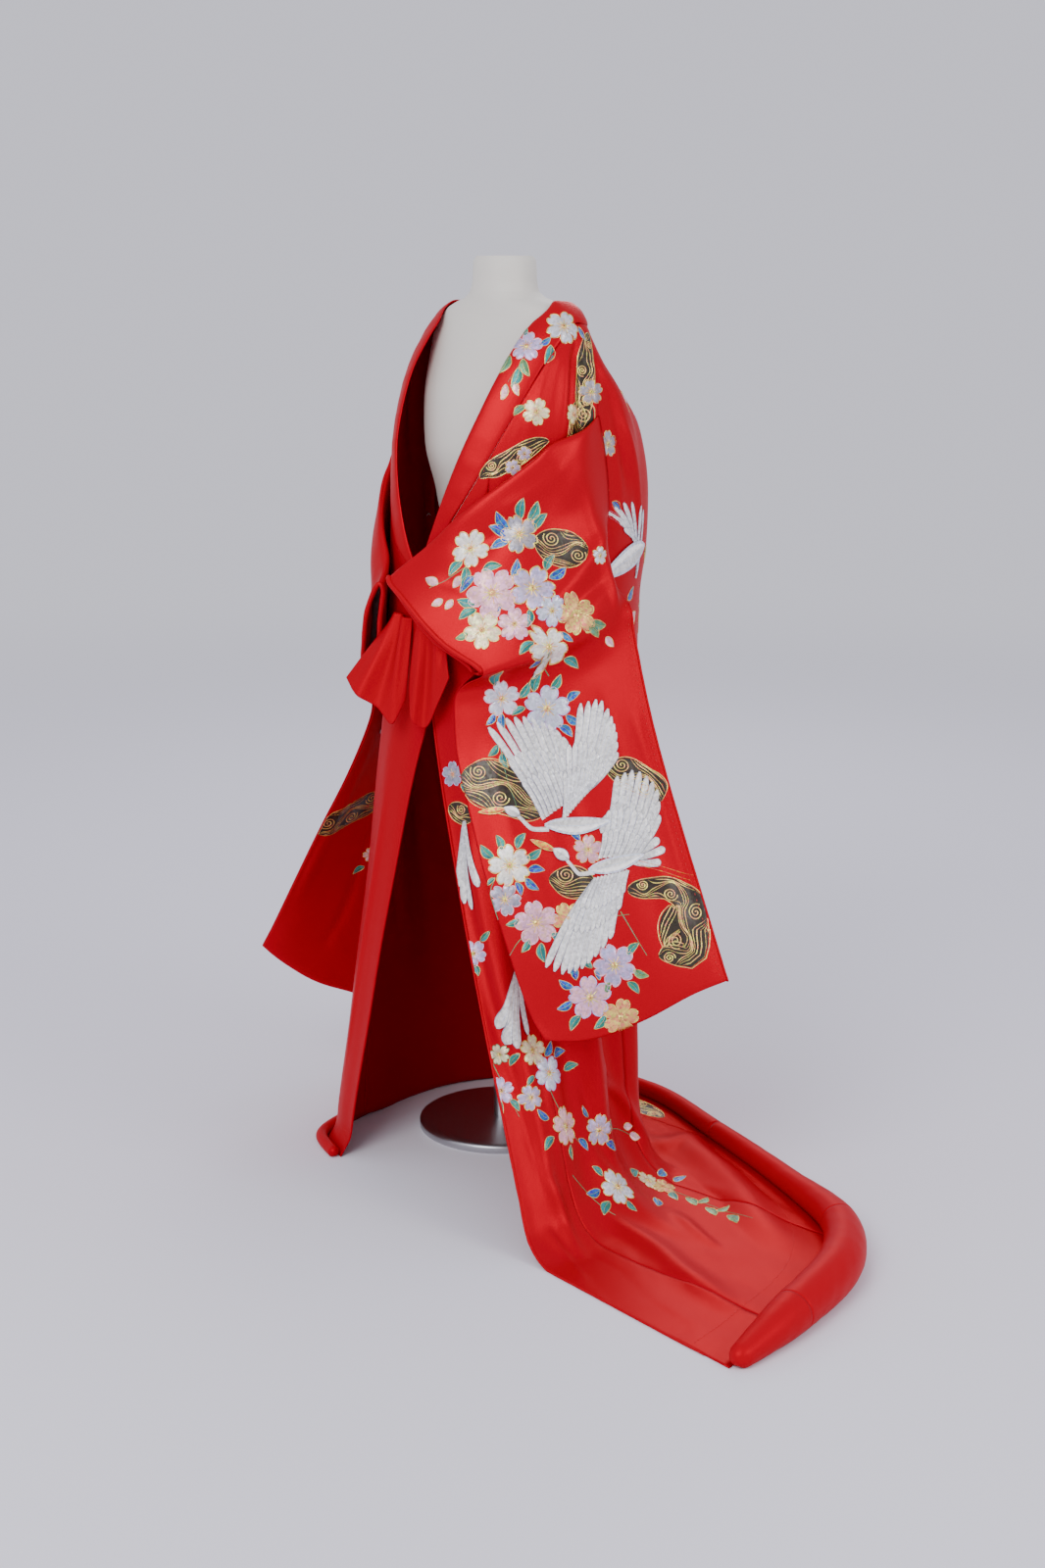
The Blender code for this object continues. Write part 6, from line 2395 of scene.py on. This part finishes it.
def stitch_tree() -> bpy.types.NodeTree:
    """Short threads set along a line, as a geometry node tree.

    Returns:
        The node tree.
    """
    takes = {"Geometry": "Geometry", "Spacing": "Float", "Length": "Float", "Thickness": "Float",
             "Seed": "Int", "Thread": "Material"}
    board = new_group("stitches along a line", "Geometry", takes, {"Geometry": "Geometry"})
    board.add("curve", "GeometryNodeMeshToCurve")
    board.add("even", "GeometryNodeResampleCurve", mode="LENGTH")
    board.add("thread", "GeometryNodeMeshUVSphere")
    board.add("place", "GeometryNodeInstanceOnPoints")
    board.add("tangent", "GeometryNodeInputTangent")
    board.add("turn", "FunctionNodeAlignRotationToVector", axis="Z")
    board.add("uneven", "FunctionNodeRandomValue", data_type="FLOAT")
    board.add("longer", "ShaderNodeMath", operation="MULTIPLY")
    board.add("size", "ShaderNodeCombineXYZ")
    board.add("real", "GeometryNodeRealizeInstances")
    board.add("finish", "GeometryNodeSetMaterial")
    board.values({
        "thread.Segments": 6, "thread.Rings": 5, "thread.Radius": 0.5, "uneven.2": 0.85, "uneven.3": 1.15,
    })
    board.link(
        "start.Geometry > curve.Mesh", "curve.Curve > even.Curve", "start.Spacing > even.Length",
        "even.Curve > place.Points", "thread.Mesh > place.Instance", "tangent.Tangent > turn.Vector",
        "turn.Rotation > place.Rotation", "start.Seed > uneven.Seed", "uneven.1 > longer.0",
        "start.Length > longer.1", "start.Thickness > size.X", "start.Thickness > size.Y",
        "longer.0 > size.Z", "size.Vector > place.Scale", "place.Instances > real.Geometry",
        "real.Geometry > finish.Geometry", "start.Thread > finish.Material",
        "finish.Geometry > end.Geometry",
    )
    return board.tree


@dataclass(frozen=True)
class StitchLine:
    """A row of hand stitches along a line of points."""

    name: str
    path: Array
    seed: int
    spacing: float = 0.0085
    length: float = 0.0038
    thickness: float = 0.0009

    def build(self, tree: bpy.types.NodeTree, material: bpy.types.Material) -> bpy.types.Object:
        """Sets the stitches.

        Args:
            tree: the geometry nodes.
            material: the thread's finish.

        Returns:
            The object.
        """
        line = bpy.data.meshes.new(f"{self.name} line")
        count = len(self.path)
        line.from_pydata([tuple(point) for point in self.path], [(i, i + 1) for i in range(count - 1)], [])
        guide = bpy.data.objects.new(f"{self.name} line", line)
        bpy.context.scene.collection.objects.link(guide)
        modifier = guide.modifiers.new("stitches", "NODES")
        modifier.node_group = tree
        values = {"Spacing": self.spacing, "Length": self.length, "Thickness": self.thickness,
                  "Seed": self.seed, "Thread": material}
        for item in tree.interface.items_tree:
            if item.item_type == "SOCKET" and item.in_out == "INPUT" and item.name in values:
                modifier[item.identifier] = values[item.name]
        graph = bpy.context.evaluated_depsgraph_get()
        mesh = bpy.data.meshes.new_from_object(guide.evaluated_get(graph))
        bpy.data.objects.remove(guide)
        mesh.name = self.name
        mesh.shade_smooth()
        piece = bpy.data.objects.new(self.name, mesh)
        bpy.context.scene.collection.objects.link(piece)
        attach(piece, "root")
        log.info("%s: %d faces", piece.name, len(mesh.polygons))
        return piece


def sew(robe: Robe, sleeves: tuple[Sleeve, ...]) -> None:
    """Sets the visible hand stitches.

    Args:
        robe: the body.
        sleeves: both sleeves.
    """
    raised = robe.surface.points + robe.surface.normals * STITCH_LIFT
    collar_row = COLLAR_ROWS * robe.down + 2
    lines = [
        StitchLine("hem_stitches", raised[3:-3, -HEM_STITCH_ROWS], 3),
        StitchLine("collar_stitches", raised[4:-4, collar_row], 5, spacing=0.012, length=0.0026),
    ]
    for sleeve in sleeves:
        raised = sleeve.surface.points + sleeve.surface.normals * STITCH_LIFT
        path = raised[-4 if sleeve.outward > 0 else 3, sleeve.free_rows()]
        lines.append(StitchLine(f"{sleeve.name}_edge_stitches", path, 7, spacing=0.010))
    tree = stitch_tree()
    for line in lines:
        line.build(tree, robe.finishes["thread"])


def build_tucks(body: WornBody, finishes: Finishes) -> None:
    """Hangs the two fronts that are turned back at the waist, their upper edges on the worn body.

    Args:
        body: the outer side of the worn cloth.
        finishes: the materials by name.
    """
    for name, table in TUCKS.items():
        values = curve_columns(table, np.linspace(0, len(table) - 1, TUCK_STEPS + 1))
        grid = []
        for angle, height, out, x, y, z in zip(*values):
            turn = math.radians(angle)
            top = body.point(angle, height) + np.array((math.sin(turn), -math.cos(turn), 0)) * out
            foot = np.array((x, y, z))
            grid.append([top + (foot - top) * s for s in np.linspace(0, 1, TUCK_ROWS + 1)])
        plain = ClothSurface(np.array(grid)).finer(8, 8)
        column, row = plain.places()
        wave = np.sin(column * 1.9 + row * 0.4) * np.sin(math.pi * np.clip(row / TUCK_ROWS, 0, 1))
        surface = plain.raised(wave * TUCK_SWELL)
        piece = shell(f"{name}_cloth", surface.points, surface.points - surface.normals * TUCK_SHELL)
        dressed(piece, [finishes["roll"], finishes["lining"]], (name,))


def turned(name: str, sections: tuple, material: bpy.types.Material,
           node: str) -> bpy.types.Object:
    """A smooth closed body through level sections.

    Args:
        name: the piece's name.
        sections: height, half width, front, back and centre x of each.
        material: its finish.
        node: the solid that it stands for.

    Returns:
        The object.
    """
    turn = np.linspace(0, 2 * math.pi, FORM_AROUND, endpoint=False)
    rings = []
    for height, half, front, back, centre in sections:
        depth = np.where(np.cos(turn) > 0, front, back)
        level = np.full(FORM_AROUND, height)
        rings.append(np.column_stack([centre + half * np.sin(turn), -depth * np.cos(turn), level]))
    rings = np.array(rings)
    girth = np.cumsum(np.linalg.norm(np.diff(rings[:, 0], axis=0, prepend=rings[:1, 0]), axis=1))
    ends = rings[[0, -1]].mean(axis=1)
    ends[:, 2] = sections[0][0], sections[-1][0]
    piece = closed_body(name, rings, ends, flat_places(girth, turn * FORM_GIRTH_SCALE))
    piece.data.set_sharp_from_angle(angle=math.radians(SHARP_ANGLE))
    return dressed(piece, [material], (node,))


def build_form(finishes: Finishes) -> None:
    """The limbless form, its pole and its round base.

    Args:
        finishes: the materials by name.
    """
    table = np.array(FORM_SECTIONS)
    even = np.linspace(table[0, 0], table[-1, 0], FORM_LEVELS)
    heights = np.unique(np.concatenate([even, table[:, 0]]))
    columns = [smooth_curve(table[:, 0], column, heights) for column in table.T[1:]]
    torso = turned("form_body", tuple(zip(heights, *columns)), finishes["cover"], "form_torso")
    top = FORM_SECTIONS[0][0] - GAP
    levels = np.linspace(BASE_HEIGHT + GAP, top, POLE_LEVELS)
    pole = [(z, POLE_RADIUS, POLE_RADIUS, POLE_RADIUS, 0.0) for z in levels]
    turned("form_pole", tuple(pole), finishes["metal"], "stand_pole")
    profile = ((FLOOR, 0.0), (BASE_HEIGHT * 0.6, 0.0), (BASE_HEIGHT * 0.75, 0.001),
               (BASE_HEIGHT * 0.9, 0.006), (BASE_HEIGHT * 0.97, 0.013), (BASE_HEIGHT, 0.020))
    base = [(z, *(BASE_RADIUS - inset,) * 3, 0.0) for z, inset in profile]
    turned("form_base", tuple(base), finishes["metal"], "stand_base")


def floor_material() -> bpy.types.Material:
    """The pale floor, which turns into the colour of the sky far from the robe.

    Returns:
        The material.
    """
    material, board = new_material("pale studio floor")
    board.add("place", "ShaderNodeTexCoord")
    board.add("away", "ShaderNodeVectorMath", operation="LENGTH")
    board.add("far", "ShaderNodeMapRange", interpolation_type="SMOOTHSTEP")
    board.values({
        "shader.Roughness": 0.75, "shader.Specular IOR Level": 0.0, "shader.Emission Strength": SKY_STRENGTH,
        "far.From Min": FLOOR_FADE[0], "far.From Max": FLOOR_FADE[1],
    })
    board.link("place.Object > away.0", "away.Value > far.Value")
    for name, near, beyond in (
        ("Base Color", FLOOR_COLOUR, (0, 0, 0)), ("Emission Color", (0, 0, 0), SKY_COLOUR),
    ):
        board.add(name, "ShaderNodeMix", data_type="RGBA")
        board.values({f"{name}.6": (*near, 1), f"{name}.7": (*beyond, 1)})
        board.link(f"far.Result > {name}.0", f"{name}.2 > shader.{name}")
    return material


def build_stage() -> None:
    """A plain pale floor, soft lamps and the camera."""
    corners = np.array(((-1, -1, 0), (1, -1, 0), (1, 1, 0), (-1, 1, 0)), float) * FLOOR_REACH
    floor = new_mesh("studio_floor", corners, np.array(((0, 1, 2, 3),)))
    floor.data.materials.append(floor_material())
    world = bpy.data.worlds.new("studio")
    world.use_nodes = True
    world.node_tree.nodes["Background"].inputs["Color"].default_value = (*SKY_COLOUR, 1.0)
    world.node_tree.nodes["Background"].inputs["Strength"].default_value = SKY_STRENGTH
    bpy.context.scene.world = world
    for name, place, aim, size, power in LAMPS:
        light = bpy.data.lights.new(name, "AREA")
        light.shape = "DISK"
        light.size = size
        light.energy = power
        lamp = bpy.data.objects.new(name, light)
        lamp.location = place
        lamp.rotation_euler = (Vector(aim) - Vector(place)).to_track_quat("-Z", "Y").to_euler()
        bpy.context.scene.collection.objects.link(lamp)
    data = bpy.data.cameras.new("photo camera")
    data.lens = LENS_LENGTH
    data.sensor_width = SENSOR_WIDTH
    camera = bpy.data.objects.new("photo camera", data)
    camera.location = CAMERA_PLACE
    camera.rotation_euler = Vector(CAMERA_FORWARD).to_track_quat("-Z", "Y").to_euler()
    bpy.context.scene.collection.objects.link(camera)
    bpy.context.scene.camera = camera


def main() -> None:
    """Builds the robe, its form and the studio."""
    logging.basicConfig(level=logging.INFO, format="%(name)s %(message)s")
    weave = weave_group()
    finishes = {name: cloth_material(finish, weave) for name, finish in FINISHES.items()}
    finishes["brocade"] = brocade_material()
    robe = Robe(finishes)
    robe.build_panels()
    robe.build_collar()
    robe.build_hem()
    robe.build_edges()
    left = Sleeve(robe, "sleeve_left", "left", LEFT_SLEEVE, 1, "left_side")
    right = Sleeve(robe, "sleeve_right", "right", RIGHT_SLEEVE, -1, "right_side")
    left.build()
    right.build()
    build_tucks(robe.body, finishes)
    Design({"body": robe.face, "left": left.surface, "right": right.surface}).build(finishes)
    build_form(finishes)
    sew(robe, (left, right))
    build_stage()


if __name__ == "__main__":
    main()
